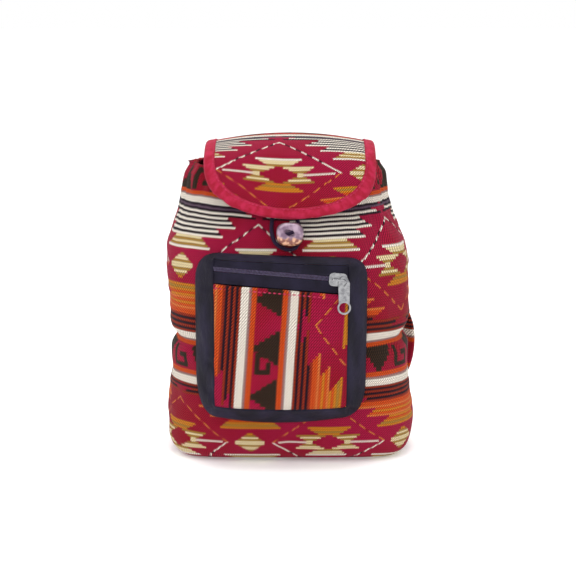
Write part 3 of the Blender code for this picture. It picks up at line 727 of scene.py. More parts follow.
def navy_nylon():
    """Smooth dark blue cloth with soft creases, painted shade in their hollows, and a dull shine.
    """
    made, tree, shader, place = new_surface("navy_nylon", 0.62)
    spot = place.outputs["Object"]
    soft = speckle(tree, spot, 55.0, detail=4.0, stretch=(1.0, 1.0, 0.6))
    grain = speckle(tree, spot, 2200.0, detail=1.0)
    # The colour follows the creases' relief below: painted shade in their hollows, lighter on their
    # crests
    color = blend(tree, soft.rise(0.3, 0.75), rgb(14, 10, 24), rgb(32, 27, 48))
    color = shade_by(tree, color, grain * 0.5 + 0.75)
    relief(tree, shader, soft * 3.0 + grain * 0.15, 0.0012, 0.8)
    paint(tree, shader, color, {"Specular IOR Level": 0.16})
    return made


def zip_coil():
    """Dark plastic thread of the coils, a little shiny, with painted highlights as lighter patches.
    """
    made, tree, shader, place = new_surface("zip_coil", 0.36)
    # Lighter patches painted on the dark plastic: painted highlights where the turns catch light
    patches = speckle(tree, place.outputs["Object"], 700.0)
    paint(tree, shader, blend(tree, patches, rgb(30, 22, 44), rgb(104, 92, 126)), {})
    return made


def zip_metal():
    """Worn silver metal."""
    made, tree, shader, place = new_surface("zip_metal", 0.3, 1.0)
    spot = place.outputs["Object"]
    worn = speckle(tree, spot, 350.0, detail=4.0)
    brushed = speckle(tree, spot, 900.0, detail=2.0, stretch=(1.0, 1.0, 0.12))
    color = blend(tree, worn.rise(0.25, 0.75), rgb(132, 132, 136), rgb(178, 178, 180))
    paint(tree, shader, color, {})
    feed(tree, shader.inputs["Roughness"], worn * 0.12 + brushed * 0.12 + 0.16)
    relief(tree, shader, brushed, 0.00004, 0.4)
    return made


def mottled_button():
    """A glazed bead: mauve above, tan and peach patches below, and painted shade round its edge."""
    made, tree, shader, place = new_surface("mottled_button", 0.34)
    spot = place.outputs["Object"]
    parts = tree.nodes.new("ShaderNodeSeparateXYZ")
    tree.links.new(spot, parts.inputs["Vector"])
    side = Term(tree, parts.outputs["X"])
    up = Term(tree, parts.outputs["Z"]) - BUTTON_Z
    cloud = speckle(tree, spot, 190.0, detail=3.0)
    patch = speckle(tree, spot, 330.0, detail=2.0)
    mauve = blend(tree, cloud.rise(0.35, 0.65), rgb(112, 84, 108), rgb(176, 150, 168))
    tan = blend(tree, patch.rise(0.42, 0.58), rgb(128, 66, 52), rgb(222, 168, 134))
    low = (up * -260.0 + cloud * 3.2 - 1.9).rise(0.0, 0.7)
    color = blend(tree, low, mauve, tan)
    # Painted shade round the bead's edge, where its round side turns away from the light
    edge = ((side / 0.0113) * (side / 0.0113) + (up / 0.0098) * (up / 0.0098)).rise(0.72, 1.12)
    color = blend(tree, edge * 0.85, color, rgb(58, 34, 42))
    relief(tree, shader, cloud + patch * 0.4, 0.0012, 0.5)
    paint(tree, shader, color, {"Coat Weight": 0.35, "Coat Roughness": 0.2})
    return made


def spun_thread(name, low, high):
    """Soft spun thread in two shades."""
    made, tree, shader, place = new_surface(name, 0.85)
    fibre = speckle(tree, place.outputs["Object"], 1500.0, detail=2.0)
    color = blend(tree, fibre.rise(0.3, 0.7), low, high)
    relief(tree, shader, fibre, 0.0003, 0.6)
    paint(tree, shader, color, {"Specular IOR Level": 0.2, "Sheen Weight": 0.06})
    return made


def pale_paper():
    """The pale floor."""
    made, tree, shader, place = new_surface("pale_paper", 0.9)
    soft = speckle(tree, place.outputs["Object"], 3.0)
    color = blend(tree, soft, rgb(247, 247, 247), rgb(251, 251, 251))
    paint(tree, shader, color, {"Emission Strength": 0.22, "Specular IOR Level": 0.1})
    tree.links.new(color.socket, shader.inputs["Emission Color"])
    return made


woven = woven_cloth(
    "woven_cloth", lean_across=1.0, lean_up=-0.8, spacing=53.0, tooth_at=44.0, hook_at=0.5
)
woven_turned = woven_cloth(
    "woven_cloth_turned", lean_across=0.75, lean_up=1.0, spacing=40.0, tooth_at=-50.8, hook_at=0.31
)
tape_red = binding_tape()
navy = navy_nylon()
coil_dark = zip_coil()
metal = zip_metal()
bead = mottled_button()
dark_thread = spun_thread("dark_thread", rgb(18, 8, 26), rgb(50, 30, 60))
red_thread = spun_thread("red_thread", rgb(150, 16, 50), rgb(206, 64, 104))


# The bag
def bag_direction(angle):
    return Vector((math.cos(angle), math.sin(angle), 0))


def bag_ring(z):
    """Evenly spaced points round the bag at one height, from the middle of its back, with their
    directions from the bag's middle."""
    centre = Vector((bag_centre(z), 0, z))
    line = []
    for step in range(RAYS + 1):
        angle = math.pi / 2 + 2 * math.pi * step / RAYS
        line.append(out_to(bag_tree, centre, bag_direction(angle)))
    points = even_points(line, BAG_COLUMNS)
    return [math.atan2(point.y, point.x - centre.x) for point in points], points


def bag_centre(z):
    """The x of the bag's middle at one height."""
    left = out_to(bag_tree, Vector((0, 0, z)), Vector((-1, 0, 0)))
    right = out_to(bag_tree, Vector((0, 0, z)), Vector((1, 0, 0)))
    return (left.x + right.x) / 2


def flat_away(point):
    """Straight out of the bag."""
    return Vector((point.x, point.y, 0))


def fullness(z):
    """The extra length of cloth that the bag has taken up below a height."""
    for low, high in zip(FULLNESS, FULLNESS[1:]):
        if z <= high.height:
            return mix(low.extra, high.extra, (z - low.height) / (high.height - low.height))
    return FULLNESS[-1].extra


def bag_folds(angle, z):
    """How far the bag's cloth stands out from its plain shape, at an angle and a height."""
    gathered = smoothstep(0.165, 0.232, z)
    turn = angle / (2 * math.pi)
    wander = 0.012 * noise.noise(Vector((turn * 9, z * 30, 3.1)))
    pleat = math.sin((turn + wander) * 2 * math.pi * PLEATS)
    side = abs(math.cos(angle)) ** 3
    out = gathered * PLEAT_DEPTH * (0.35 + 0.65 * side) * pleat
    place = Vector((math.cos(angle) * 0.09, math.sin(angle) * 0.06, z))
    out += HOLLOW_DEPTH * noise.fractal(place * HOLLOW_SCALE, 1.0, 2.0, 3)
    out -= WAIST_DEPTH * side * math.exp(-(((z - WAIST_Z) / WAIST_REACH) ** 2))
    crease = noise.noise(Vector((turn * 14 + z * 22, z * 46, 7.7)))
    out += CREASE_DEPTH * (1 - min(1.0, abs(crease) * 5)) * (0.4 + 0.6 * side)
    return out


def base_lift(point):
    """The front edge of the base is drawn up between the bag's two front corners."""
    if point.y > 0:
        return 0.0
    between = max(0.0, 1 - (point.x / BASE_LIFT_HALF_WIDTH) ** 4)
    return BASE_LIFT * between * smoothstep(0.0, 0.03, -point.y)


def make_bag():
    """The bag's cloth from the middle of its base, over the base's edge and up to the gathered rim,
    with the row of stitches that holds the gathers."""
    top_level = BAG_HEIGHT - MOUTH_DIP - RIM_DROP
    heights = [mix(LOWEST_ROW, top_level, row / BAG_ROWS) for row in range(BAG_ROWS + 1)]
    rings = [bag_ring(z) for z in heights]
    centres = [bag_centre(z) for z in heights]
    middle = BAG_COLUMNS // 2
    lengths = [0.0]
    for (_, before), (_, after) in zip(rings, rings[1:]):
        lengths.append(lengths[-1] + (after[middle] - before[middle]).length)

    def lay(across, up):
        column = round(across * BAG_COLUMNS)
        row = round(up * (BAG_ROWS + BASE_ROWS)) - BASE_ROWS
        angles, points = rings[max(row, 0)]
        if row < 0:
            share = 1 + row / BASE_ROWS
            rim = points[column]
            raised = BASE_DOME * (1 - share**6) + base_lift(rim) * share
            return Vector((rim.x * share, rim.y * share, rim.z + raised))
        z = heights[row]
        raised = smoothstep(GATHER_FROM, 1.0, z / top_level)
        front = max(0.0, -math.sin(angles[column])) ** 2
        lift = raised * (MOUTH_DIP + 0.0012) * (1 - front)
        centre = Vector((centres[row], 0, z + lift))
        direction = bag_direction(angles[column])
        found = out_to(bag_tree, centre, direction) or points[column] + Vector((0, 0, lift))
        found += direction * bag_folds(angles[column], z) * smoothstep(0, 0.02, z)
        drawn = RIM_DRAW * smoothstep(RIM_DRAW_FROM, top_level, z) * abs(direction.x) ** 2
        found.x -= math.copysign(drawn, direction.x)
        found.z += base_lift(points[column]) * (1 - smoothstep(0, 0.03, z))
        return found

    def measure(across, up):
        row = round(up * (BAG_ROWS + BASE_ROWS)) - BASE_ROWS
        length = lengths[row] if row >= 0 else row / BASE_ROWS * BASE_CLOTH
        z = heights[max(row, 0)]
        x = (across - 0.5) * BAG_GIRTH - BAG_COLUMN - BAG_TWIST * z
        return x, length + fullness(z) - BAG_BAND

    rows = BAG_ROWS + BASE_ROWS
    hem = [lay(column / BAG_COLUMNS, (rows - HEM_ROWS) / rows) for column in range(BAG_COLUMNS + 1)]
    hem = [point + flat_away(point).normalized() * 0.0002 for point in hem]
    stitch_row("mouth_stitches", hem, flat_away, Stitch(0.0026, 0.0014, 0.0004), "woven_cloth")
    shape = cloth_grid(BAG_COLUMNS, rows, lay, measure)
    close_seams(shape)
    inner = [vert for vert in shape.verts if not vert.is_boundary]
    every_way = {"use_axis_x": True, "use_axis_y": True, "use_axis_z": True}
    for _ in range(3):
        bmesh.ops.smooth_vert(shape, verts=inner, factor=0.5, **every_way)
    face_out(shape)
    wall(finish_piece("bag_cloth", shape, woven, "bag", "woven_cloth", "bag_body"), CLOTH)


# The flap
def flap_line(x):
    """The flap's outer surface at one x, from its back seam over the top to its front end."""
    line = []
    for step in range(FLAP_SWEEP_STEPS + 1):
        angle = math.radians(mix(*FLAP_SWEEP, step / FLAP_SWEEP_STEPS))
        direction = Vector((0, math.cos(angle), math.sin(angle)))
        found = out_to(flap_tree, Vector((x, FLAP_PIVOT.y, FLAP_PIVOT.z)), direction)
        if found is not None:
            line.append(found)
    return line


class FlapSurface:
    """The flap's smooth outer surface: a point and a normal for an x and a length from its back
    seam."""

    def __init__(self):
        self.half = FLAP_WIDTH / 2 - FLAP_SIDE_MARGIN
        places = [mix(-self.half, self.half, step / FLAP_LINES) for step in range(FLAP_LINES + 1)]
        self.lines = [flap_line(x) for x in places]

    def on_line(self, line, length):
        """The point at a length along a line, or straight on past its end."""
        for start, end in zip(line, line[1:]):
            span = (end - start).length
            if length <= span:
                return start + (end - start) * (length / span)
            length -= span
        tail = (line[-1] - line[-4]).normalized()
        return line[-1] + tail * length

    def point(self, x, length):
        place = (x + self.half) / (2 * self.half) * FLAP_LINES
        low = min(max(int(place), 0), FLAP_LINES - 1)
        a = self.on_line(self.lines[low], length)
        b = self.on_line(self.lines[low + 1], length)
        found = a.lerp(b, place - low)
        found.x = x
        return found

    def normal(self, x, length):
        step = 0.002
        across = self.point(x + step, length) - self.point(x - step, length)
        down = self.point(x, length + step) - self.point(x, length - step)
        return down.cross(across).normalized()


flap_surface = FlapSurface()


def flap_edge(angle, inset):
    """The flat flap's outline, inset by a width: x and length, where the angle goes from -90 to 90
    degrees round its end."""
    half = FLAP_WIDTH / 2 - inset
    end = max(0.0, math.cos(angle)) ** FLAP_END_POWER
    return half * math.sin(angle), FLAP_SIDE_LENGTH + (FLAP_ROUND - inset) * end


def make_flap():
    """The flap's cloth, from its back seam to its round end."""

    def flat(across, up):
        x, length = flap_edge(math.radians(mix(-90, 90, across)), FLAP_INSET)
        return x, length * up

    def lay(across, up):
        x, length = flat(across, up)
        return flap_surface.point(x, length)

    def measure(across, up):
        x, length = flat(across, up)
        drawn = length * (1 + FLAP_SIDE_DRAW * (2 * x / FLAP_WIDTH) ** 2)
        up_cloth = MIDWAY / 1000 + (FLAP_MOTIF - drawn) * FLAP_FULLNESS
        return x - FLAP_COLUMN + HALF / 1000, up_cloth

    shape = cloth_grid(FLAP_COLUMNS, FLAP_ROWS, lay, measure)
    close_seams(shape)
    face_out(shape)
    piece = finish_piece("flap_cloth", shape, woven, "bag", "woven_cloth", "flap")
    wall(piece, CLOTH).use_even_offset = False
    edge = [flap_edge(math.radians(angle), FLAP_INSET) for angle in range(-90, 91)]
    area = sum((b[0] - a[0]) * (a[1] + b[1]) / 2 for a, b in zip(edge, edge[1:]))


def make_tape():
    """The tape folded round the flap's edge, from one side of the back seam to the other."""
    sides = 40
    end = 90
    stations = [(-90, mix(TAPE_START, 1.0, row / sides)) for row in range(sides)]
    stations += [(mix(-90, 90, column / end), 1.0) for column in range(end + 1)]
    stations += [(90, mix(1.0, TAPE_START, row / sides)) for row in range(1, sides + 1)]
    high, low = TAPE_FOLD, -CLOTH - TAPE_FOLD
    section = [
        (TAPE_WIDTH, high * 0.5),
        (TAPE_WIDTH * 0.93, high),
        (TAPE_WIDTH * 0.80, high * 0.55),
        (TAPE_WIDTH * 0.55, high * 1.15),
        (TAPE_WIDTH * 0.25, high * 1.1),
        (0.0009, high * 0.55),
        (0.0001, -CLOTH * 0.30),
        (0.0001, -CLOTH * 0.70),
        (0.0009, low * 0.9),
        (TAPE_WIDTH * 0.35, low),
        (TAPE_WIDTH * 0.90, low),
    ]
    last = len(stations) - 1

    def lay(across, up):
        angle, share = stations[round(up * last)]
        inwards, off = section[round(across * (len(section) - 1))]
        edge_x, edge_length = flap_edge(math.radians(angle), 0.0)
        deep_x, deep_length = flap_edge(math.radians(angle), TAPE_WIDTH)
        part = inwards / TAPE_WIDTH
        x = mix(edge_x, deep_x, part)
        length = mix(edge_length, deep_length, part) * share
        return flap_surface.point(x, length) + flap_surface.normal(x, length) * off

    def measure(across, up):
        return across * TAPE_FLAT_WIDTH, up * TAPE_LENGTH

    shape = cloth_grid(len(section) - 1, last, lay, measure)
    face_out(shape)
    piece = finish_piece("flap_edge_tape", shape, tape_red, "bag", "binding_tape", "flap_binding")
    wall(piece, TAPE, 0.0)
    soften(piece)


def tape_point(x, length):
    """A place on the tape's outer face."""
    normal = flap_surface.normal(x, length)
    return flap_surface.point(x, length) + normal * TAPE_STITCH_OUT


def make_flap_stitches():
    """The line of stitches that holds the tape on the flap."""
    inset = TAPE_WIDTH - TAPE_STITCH_INSET
    line = []
    for row in range(6, 30):
        x, length = flap_edge(math.radians(-90), inset)
        line.append(tape_point(x, length * row / 30))
    for column in range(121):
        x, length = flap_edge(math.radians(mix(-90, 90, column / 120)), inset)
        line.append(tape_point(x, length))
    for row in range(29, 5, -1):
        x, length = flap_edge(math.radians(90), inset)
        line.append(tape_point(x, length * row / 30))

    def outward(point):
        return (point - FLAP_PIVOT) * Vector((0.25, 1, 1))

    stitch_row("tape_stitches", line, outward, Stitch(0.0022, 0.0009, 0.0004), "binding_tape")


# Cords and stitches
Stitch = namedtuple("Stitch", "length gap radius")


def spline(points, steps):
    """A smooth line through the given points."""
    found = []
    last = len(points) - 1
    for index in range(last):
        before, start = points[max(index - 1, 0)], points[index]
        end, after = points[index + 1], points[min(index + 2, last)]
        for step in range(steps):
            t = step / steps
            bend = 2 * start - 2 * end + (end - before) / 2 + (after - start) / 2
            turn = -3 * start + 3 * end - (end - before) - (after - start) / 2
            found.append(bend * t**3 + turn * t**2 + (end - before) / 2 * t + start)
    return found + [points[-1]]


def twisted_cord(name, points, radius, plies, turns, sides, *stands_for):
    """A dark cord of twisted plies along a line, with closed ends."""
    groove = 0.16
    last = len(points) - 1
    runs = []
    for index in range(last + 1):
        run = points[min(index + 1, last)] - points[max(index - 1, 0)]
        runs.append(run.normalized())
    side = runs[0].orthogonal()
    frames = []
    for run in runs:
        side = (side - run * side.dot(run)).normalized()
        frames.append((side.copy(), run.cross(side)))

    def lay(across, up):
        step = round(up * (last + 2)) - 1
        at = min(max(step, 0), last)
        angle = 2 * math.pi * across
        spin = 2 * math.pi * turns * at / last
        reach = radius * (1 - groove + groove * math.cos(plies * (angle + spin)))
        reach *= 0.001 if step in (-1, last + 1) else 1.0
        first, second = frames[at]
        return points[at] + (first * math.cos(angle) + second * math.sin(angle)) * reach

    shape = cloth_grid(sides, last + 2, lay, lambda a, b: (a * radius * 6, b * last * 0.001))
    close_seams(shape)
    face_out(shape)
    finish_piece(name, shape, dark_thread, "bag", "dark_thread", *stands_for)


def stitch_row(name, line, outward, stitch, slot):
    """A row of red stitches along a line: small rounded dashes that lie on the cloth."""
    shape = bmesh.new()
    whole = sum((b - a).length for a, b in zip(line, line[1:]))
    count = int(whole / (stitch.length + stitch.gap))
    places = even_points(line, count * 2)
    for index in range(count):
        start, end = places[2 * index], places[2 * index + 1]
        run = (end - start).normalized()
        out = (outward(start) - run * outward(start).dot(run)).normalized()
        turn = Matrix((run, out.cross(run), out)).transposed().to_4x4()
        scale = Matrix.Diagonal((stitch.length / 2, stitch.radius, stitch.radius * 0.8, 1))
        place = Matrix.Translation((start + end) / 2) @ turn @ scale
        bmesh.ops.create_uvsphere(shape, u_segments=6, v_segments=5, radius=1, matrix=place)
    finish_piece(name, shape, red_thread, "bag", slot)


# The button, its thread and its loop
def make_button():
    """An uneven bead with a slanted slot, and the three strands of thread that lie in the slot."""
    seat = bag_front(0, BUTTON_Z).y
    centre = Vector((0, seat - BUTTON_STANDOFF - BUTTON_THICKNESS / 2, BUTTON_Z))
    shape = bmesh.new()
    bmesh.ops.create_uvsphere(shape, u_segments=64, v_segments=40, radius=1.0)
    slant = Matrix.Rotation(THREAD_SLANT, 2)
    for vert in shape.verts:
        x, y, z = vert.co
        full = (abs(x) ** 4 + abs(y) ** 4 + abs(z) ** 4) ** 0.15
        uneven = 1 + 0.03 * math.sin(3.1 * x + 1.3) * math.cos(2.7 * z + 0.4)
        uneven += 0.03 * noise.noise(Vector((x, y, z)) * 2.2)
        point = Vector((x * BUTTON_WIDTH, y * BUTTON_THICKNESS, z * BUTTON_HEIGHT)) / 2
        point *= uneven / full * 0.97
        along, over = slant @ Vector((point.x, point.z - 0.0015))
        from_slot = math.hypot(along / SLOT_HALF_LENGTH, over / SLOT_HALF_HEIGHT)
        if y < 0:
            point.y += SLOT_DEPTH * (1 - smoothstep(0.55, 1.15, from_slot))
        vert.co = centre + point
    finish_piece("bead_button", shape, bead, "bag", "mottled_button", "button")

    front = centre.y - BUTTON_THICKNESS / 2
    for index, (drop, slope) in enumerate(((-0.0009, 2), (0.0, -3), (0.0009, 4))):
        line = []
        for step in range(25):
            share = step / 24
            angle = math.radians(slope) - THREAD_SLANT
            along = Vector((math.cos(angle), 0, -math.sin(angle)))
            over = Vector((math.sin(angle), 0, math.cos(angle)))
            arch = 1 - (2 * share - 1) ** 4
            depth = mix(front + 0.0040, front + 0.0009 - 0.0004 * index, arch)
            place = along * mix(-THREAD_HALF, THREAD_HALF, share) + over * drop
            line.append(Vector((place.x, depth, THREAD_Z + place.z)))
        nodes = ("button_thread",) if index == 0 else ()
        twisted_cord(f"button_strand_{index + 1}", line, STRAND_RADIUS, 2, 5, 12, *nodes)


def make_loop():
    """The loop's cord, close to the bag's front, with both ends hidden behind the flap."""
    route = []
    for across, up in LOOP_ROUTE:
        x = across * BUTTON_WIDTH / 2
        z = BUTTON_Z + up * BUTTON_HEIGHT / 2
        route.append(Vector((x, bag_front(x, z).y - LOOP_DIAMETER / 2 - LOOP_CLEARANCE, z)))
    line = even_points(spline(route, 12), 200)
    twisted_cord("loop_cord", line, LOOP_DIAMETER / 2 * LOOP_FULLNESS, 3, 14, 18, "button_loop")


# The pocket
def pocket_corners(side, top, bottom):
    """The four corners, drawn in by a width at the sides, the top and the bottom."""
    found = []
    for corner in POCKET_CORNERS:
        x = POCKET_X + corner.across * POCKET_WIDTH / 2 - math.copysign(side, corner.across)
        z = POCKET_Z + corner.up * POCKET_HEIGHT / 2 - (top if corner.up > 0 else -bottom)
        found.append(Vector((x, z)))
    return found


def pocket_outline(corners, reaches, sag):
    """Points clockwise round the pocket, with rounded corners and a bottom edge that hangs down a
    little."""
    found = []
    side_steps, corner_steps = 40, 14
    for index, corner in enumerate(corners):
        before, after = corners[index - 1], corners[(index + 1) % 4]
        start = corner + (before - corner).normalized() * reaches[index][0]
        end = corner + (after - corner).normalized() * reaches[index][1]
        for step in range(corner_steps + 1):
            t = step / corner_steps
            found.append(start * (1 - t) ** 2 + corner * (2 * t * (1 - t)) + end * t**2)
        next_start = after + (corner - after).normalized() * reaches[(index + 1) % 4][0]
        for step in range(1, side_steps):
            t = step / side_steps
            point = end.lerp(next_start, t)
            if index == 2:
                point.y -= sag * 4 * t * (1 - t)
            found.append(point)
    return found


def front_corners(inset=0.0):
    """The corners of the pocket's front face, which is smaller than its outline on the bag."""
    return pocket_corners(SIDE_FLARE + inset, TOP_FLARE + inset, BOTTOM_FLARE + inset)


def pocket_depth(x, z):
    """How far the pocket's front stands out from the bag."""
    across = (x - POCKET_X) / (POCKET_WIDTH / 2)
    up = (z - POCKET_Z) / (POCKET_HEIGHT / 2)
    return POCKET_DEPTH + POCKET_CROWN * max(0.0, 1 - across**2) * max(0.0, 1 - up**2)


def front_point(x, z, out=0.0):
    """A point on the pocket's front face, or that far out from it."""
    return Vector((x, bag_front(x, z).y - pocket_depth(x, z) - out, z))


def sides_at(z):
    """Left and right x of the pocket's front at one height."""
    top_left, top_right, low_right, low_left = front_corners()
    part = (z - low_left.y) / (top_left.y - low_left.y)
    left = mix(low_left.x, top_left.x, part) + EDGE_INSET
    return left, mix(low_right.x, top_right.x, part) - EDGE_INSET


def zip_z(share):
    """The zip's line, from the pocket's left side to its right, where it hangs a little lower."""
    left, right = front_corners()[:2]
    return mix(left.y, right.y, share) - ZIP_BELOW_TOP - ZIP_SAG * share**1.6


def make_pocket_wall():
    """The smooth cloth round the pocket, creased at its corners and pinched down its left side."""
    reaches = [(corner.before, corner.after) for corner in POCKET_CORNERS]
    back = pocket_outline(pocket_corners(0, 0, 0), reaches, POCKET_SAG)
    front = pocket_outline(front_corners(), [(PANEL_CORNER, PANEL_CORNER)] * 4, POCKET_SAG / 2)
    count = len(back)
    centre = Vector((POCKET_X, POCKET_Z))
    diagonals = [corner - centre for corner in front_corners()]

    def lay(across, up):
        column = round(across * count) % count
        part = WALL_SECTION[round(up * (len(WALL_SECTION) - 1))]
        flat = back[column].lerp(front[column], part.towards)
        away = (flat - centre).normalized()
        flat += away * part.swell
        out = part.out * pocket_depth(flat.x, flat.y)
        middle = 4 * part.towards * (1 - part.towards)
        for diagonal in diagonals:
            turn = abs(away.angle(diagonal, 0.0))
            out -= CREASE_DROP * middle * math.exp(-((turn / 0.025) ** 2))
            out += CREASE_RIDGE * middle * math.exp(-(((turn - 0.07) / 0.04) ** 2))
        out += WALL_RIPPLE * middle * noise.noise(Vector((flat.x * 90, flat.y * 60, 2.0)))
        if away.x < -0.5 and part.towards > 0.3:
            deep = PINCH_DEPTH * smoothstep(0.3, 0.8, part.towards)
            for height in PINCHES:
                out -= deep * math.exp(-(((flat.y - height) / PINCH_REACH) ** 2))
        return Vector((flat.x, bag_front(flat.x, flat.y).y - out, flat.y))

    def measure(across, up):
        return across * WALL_LENGTH, up * WALL_WIDTH

    shape = cloth_grid(count, len(WALL_SECTION) - 1, lay, measure)
    close_seams(shape)
    face_out(shape)
    piece = finish_piece("pocket_wall", shape, navy, "bag", "navy_nylon", "pocket_gusset")
    wall(piece, NYLON)
    soften(piece)


def front_patch(columns, rows, low, high, out, measure):
    """A patch of cloth on the pocket's front between two lines, low and high, at shares across."""

    def place(across, up):
        z = mix(low(across), high(across), up)
        left, right = sides_at(z)
        return mix(left, right, across), z

    def lay(across, up):
        x, z = place(across, up)
        return front_point(x, z, out(across, up))

    shape = cloth_grid(columns, rows, lay, lambda a, b: measure(*place(a, b)))
    face_out(shape)
    return shape


def make_pocket_front():
    """The pocket's woven panel with its stitched hem, and the bands on either side of the zip."""
    corners = front_corners(EDGE_INSET)

    def bottom(share):
        sag = POCKET_SAG / 2 * 4 * share * (1 - share) * 0.85
        return mix(corners[3].y, corners[2].y, share) - sag

    def panel_top(share):
        return zip_z(share) - PANEL_DROP

    def panel_out(across, up):
        edge = smoothstep(0.0, 0.05, min(across, 1 - across)) * smoothstep(0.0, 0.04, up)
        hem = HEM_HEIGHT * smoothstep(0.955, 0.965, up)
        soft = PANEL_RIPPLE * noise.fractal(Vector((across * 3.0, up * 3.0, 5.0)), 1.0, 2.0, 3)
        return 0.0002 + PANEL_PUFF * edge + soft * edge + hem

    def panel_place(x, z):
        band = PANEL_BAND + PANEL_LEAN * (z - POCKET_Z)
        return PANEL_COLUMN - z, x - band

    def band_out(across, up):
        lip = math.exp(-(((up - 0.06) / 0.07) ** 2)) + math.exp(-(((up - 0.94) / 0.08) ** 2))
        return BAND_LIP * lip + BAND_RIPPLE * noise.noise(Vector((across * 9, up * 2, 1.0)))

    def band_place(x, z):
        return x, z

    def above_coil(share):
        return zip_z(share) + COIL_WIDTH - COIL_OVERLAP

    def below_coil(share):
        return zip_z(share) - COIL_WIDTH + COIL_OVERLAP

    def top_edge(share):
        return mix(corners[0].y, corners[1].y, share)

    def hem_edge(share):
        return panel_top(share) + 0.0003

    panel = front_patch(90, 90, bottom, panel_top, panel_out, panel_place)
    upper = front_patch(90, 14, above_coil, top_edge, band_out, band_place)
    lower = front_patch(90, 14, hem_edge, below_coil, band_out, band_place)
    for name, patch, surface, slot, thickness, node in (
        ("pocket_cloth", panel, woven_turned, "woven_cloth", CLOTH, "pocket_panel"),
        ("upper_zip_band", upper, navy, "navy_nylon", NYLON, "zip_tape_upper"),
        ("lower_zip_band", lower, navy, "navy_nylon", NYLON, "zip_tape_lower"),
    ):
        wall(finish_piece(name, patch, surface, "bag", slot, node), thickness)
    seam = [front_point(x, z, 0.0022) for x, z in hem_line(panel_top)]
    stitch_row("hem_stitches", seam, straight_out, Stitch(0.0030, 0.0008, 0.0006), "woven_cloth")


def straight_out(point):
    return Vector((0, -1, 0))


def hem_line(top):
    """Places along the pocket cloth's top hem."""
    found = []
    for step in range(61):
        share = mix(0.01, 0.99, step / 60)
        z = top(share) - HEM_INSET
        left, right = sides_at(z)
        found.append((mix(left, right, share), z))
    return found


def make_coils():
    """The closed zip's coils: small rounded turns that lie between each other."""
    left, right = sides_at(POCKET_Z + 0.05)
    for name, side, shift, node in (
        ("coil_turns_upper", 1, 0.0, "zip_coil_upper"),
        ("coil_turns_lower", -1, 0.5, "zip_coil_lower"),
    ):
        shape = bmesh.new()
        count = int((COIL_END - left) / TOOTH_PITCH)
        for index in range(count):
            x = left + (index + 0.3 + shift) * TOOTH_PITCH
            z = zip_z((x - left) / (right - left)) + side * COIL_WIDTH * 0.44
            scale = Matrix.Diagonal((TOOTH_PITCH * 0.40, TOOTH_DEPTH, COIL_WIDTH * 0.56, 1))
            slant = Matrix.Rotation(TOOTH_LEAN * side, 4, "Y")
            place = Matrix.Translation(front_point(x, z, -0.0001)) @ slant @ scale
            bmesh.ops.create_uvsphere(shape, u_segments=8, v_segments=6, radius=1, matrix=place)
        finish_piece(name, shape, coil_dark, "bag", "zip_coil", node)


def rounded_copy(name, node, body, radius):
    """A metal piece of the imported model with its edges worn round."""
    piece = finish_piece(name, copy_of(node, False), metal, body, "zip_metal", node)
    step = piece.modifiers.new("worn", "BEVEL")
    step.width = radius
    step.segments = 3
    step.limit_method = "ANGLE"
    step.angle_limit = math.radians(38)
    step.harden_normals = False
    smooth = piece.modifiers.new("weighted", "WEIGHTED_NORMAL")
    smooth.keep_sharp = False


# The shoulder straps
def make_strap(name, node):
    """A strap's woven band, its stripes across it, with soft ripples where it hangs slack. Its own
    middle line gives the pattern's x."""
    shape = copy_of(node)
    heights = sorted(vert.co.z for vert in shape.verts)
    low, high = heights[0], heights[-1]
    reach = (high - low) / STRAP_STEPS
    middles = []
    for step in range(STRAP_STEPS + 1):
        z = mix(low, high, step / STRAP_STEPS)
        near = [vert.co.x for vert in shape.verts if abs(vert.co.z - z) < reach]
        middles.append((min(near) + max(near)) / 2)

    def middle(z):
        place = (z - low) / reach
        step = min(max(int(place), 0), STRAP_STEPS - 1)
        return mix(middles[step], middles[step + 1], place - step)

    flat = shape.loops.layers.uv.new("cloth")
    bmesh.ops.subdivide_edges(shape, edges=shape.edges, cuts=2, use_grid_fill=True)
    for vert in shape.verts:
        vert.co.y += STRAP_RIPPLE * noise.noise(vert.co * 70)
    for face in shape.faces:
        for loop in face.loops:
            place = loop.vert.co
            loop[flat].uv = place.x - middle(place.z), place.z * STRAP_FULLNESS - STRAP_BAND
    face_out(shape)
    soften(finish_piece(name, shape, woven, "bag", "woven_cloth", node))


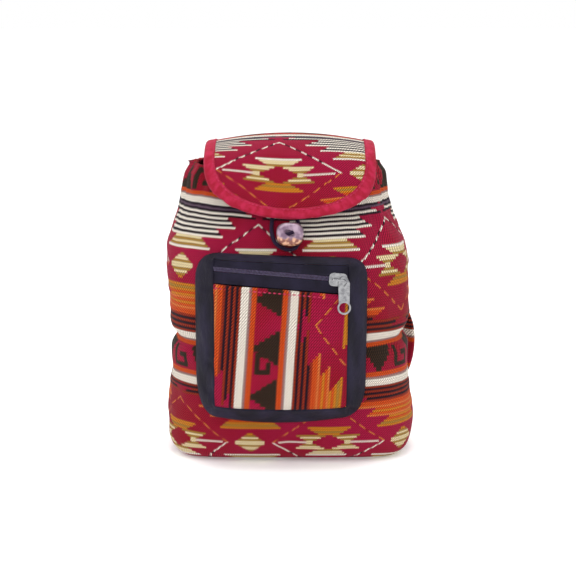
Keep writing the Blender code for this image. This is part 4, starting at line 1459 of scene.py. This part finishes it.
make_bag()
make_flap()
make_tape()
make_flap_stitches()
make_button()
make_loop()
make_pocket_wall()
make_pocket_front()
make_coils()
rounded_copy("slider_body", "zip_slider", "bag", 0.00022)
rounded_copy("pull_plate", "pull_tab", "pull", 0.00018)
make_strap("strap_cloth_right", "shoulder_strap_right")
make_strap("strap_cloth_left", "shoulder_strap_left")


# Floor, lights and camera
def make_floor():
    """A wide pale floor."""
    shape = bmesh.new()
    bmesh.ops.create_grid(shape, x_segments=1, y_segments=1, size=FLOOR_SIZE)
    data = bpy.data.meshes.new("floor")
    shape.to_mesh(data)
    shape.free()
    data.materials.append(pale_paper())
    floor = new_object("floor", data)
    floor.location.z = FLOOR_Z


def make_light(name, place, power):
    """A soft square lamp that faces the bag."""
    data = bpy.data.lights.new(name, "AREA")
    data.size = LAMP_SIZE
    data.energy = power
    lamp = new_object(name, data)
    lamp.location = place
    lamp.rotation_euler = (LAMP_AIM - place).to_track_quat("-Z", "Y").to_euler()


def make_camera():
    """The photo's view: straight on and a little from above."""
    data = bpy.data.cameras.new("camera")
    data.lens = LENS
    data.sensor_width = 36
    data.clip_start = 0.01
    data.shift_x = (IMAGE / 2 - AIM_COLUMN) / IMAGE
    data.shift_y = (AIM_ROW - IMAGE / 2) / IMAGE
    camera = new_object("camera", data)
    back = Vector((0, -math.cos(CAMERA_ELEVATION), math.sin(CAMERA_ELEVATION)))
    camera.location = CAMERA_AIM + back * CAMERA_DISTANCE
    camera.rotation_euler = (-back).to_track_quat("-Z", "Y").to_euler()
    bpy.context.scene.camera = camera


def make_world():
    """Even white light from all sides."""
    world = bpy.data.worlds.new("studio")
    world.use_nodes = True
    background = world.node_tree.nodes["Background"]
    background.inputs["Color"].default_value = (1, 1, 1, 1)
    background.inputs["Strength"].default_value = 1.0
    bpy.context.scene.world = world


make_floor()
make_world()
make_light("key", Vector((-0.9, -1.3, 1.4)), 4)
make_light("top", Vector((0.0, -0.1, 1.8)), 14)
make_camera()
bpy.context.scene.view_settings.view_transform = "Standard"
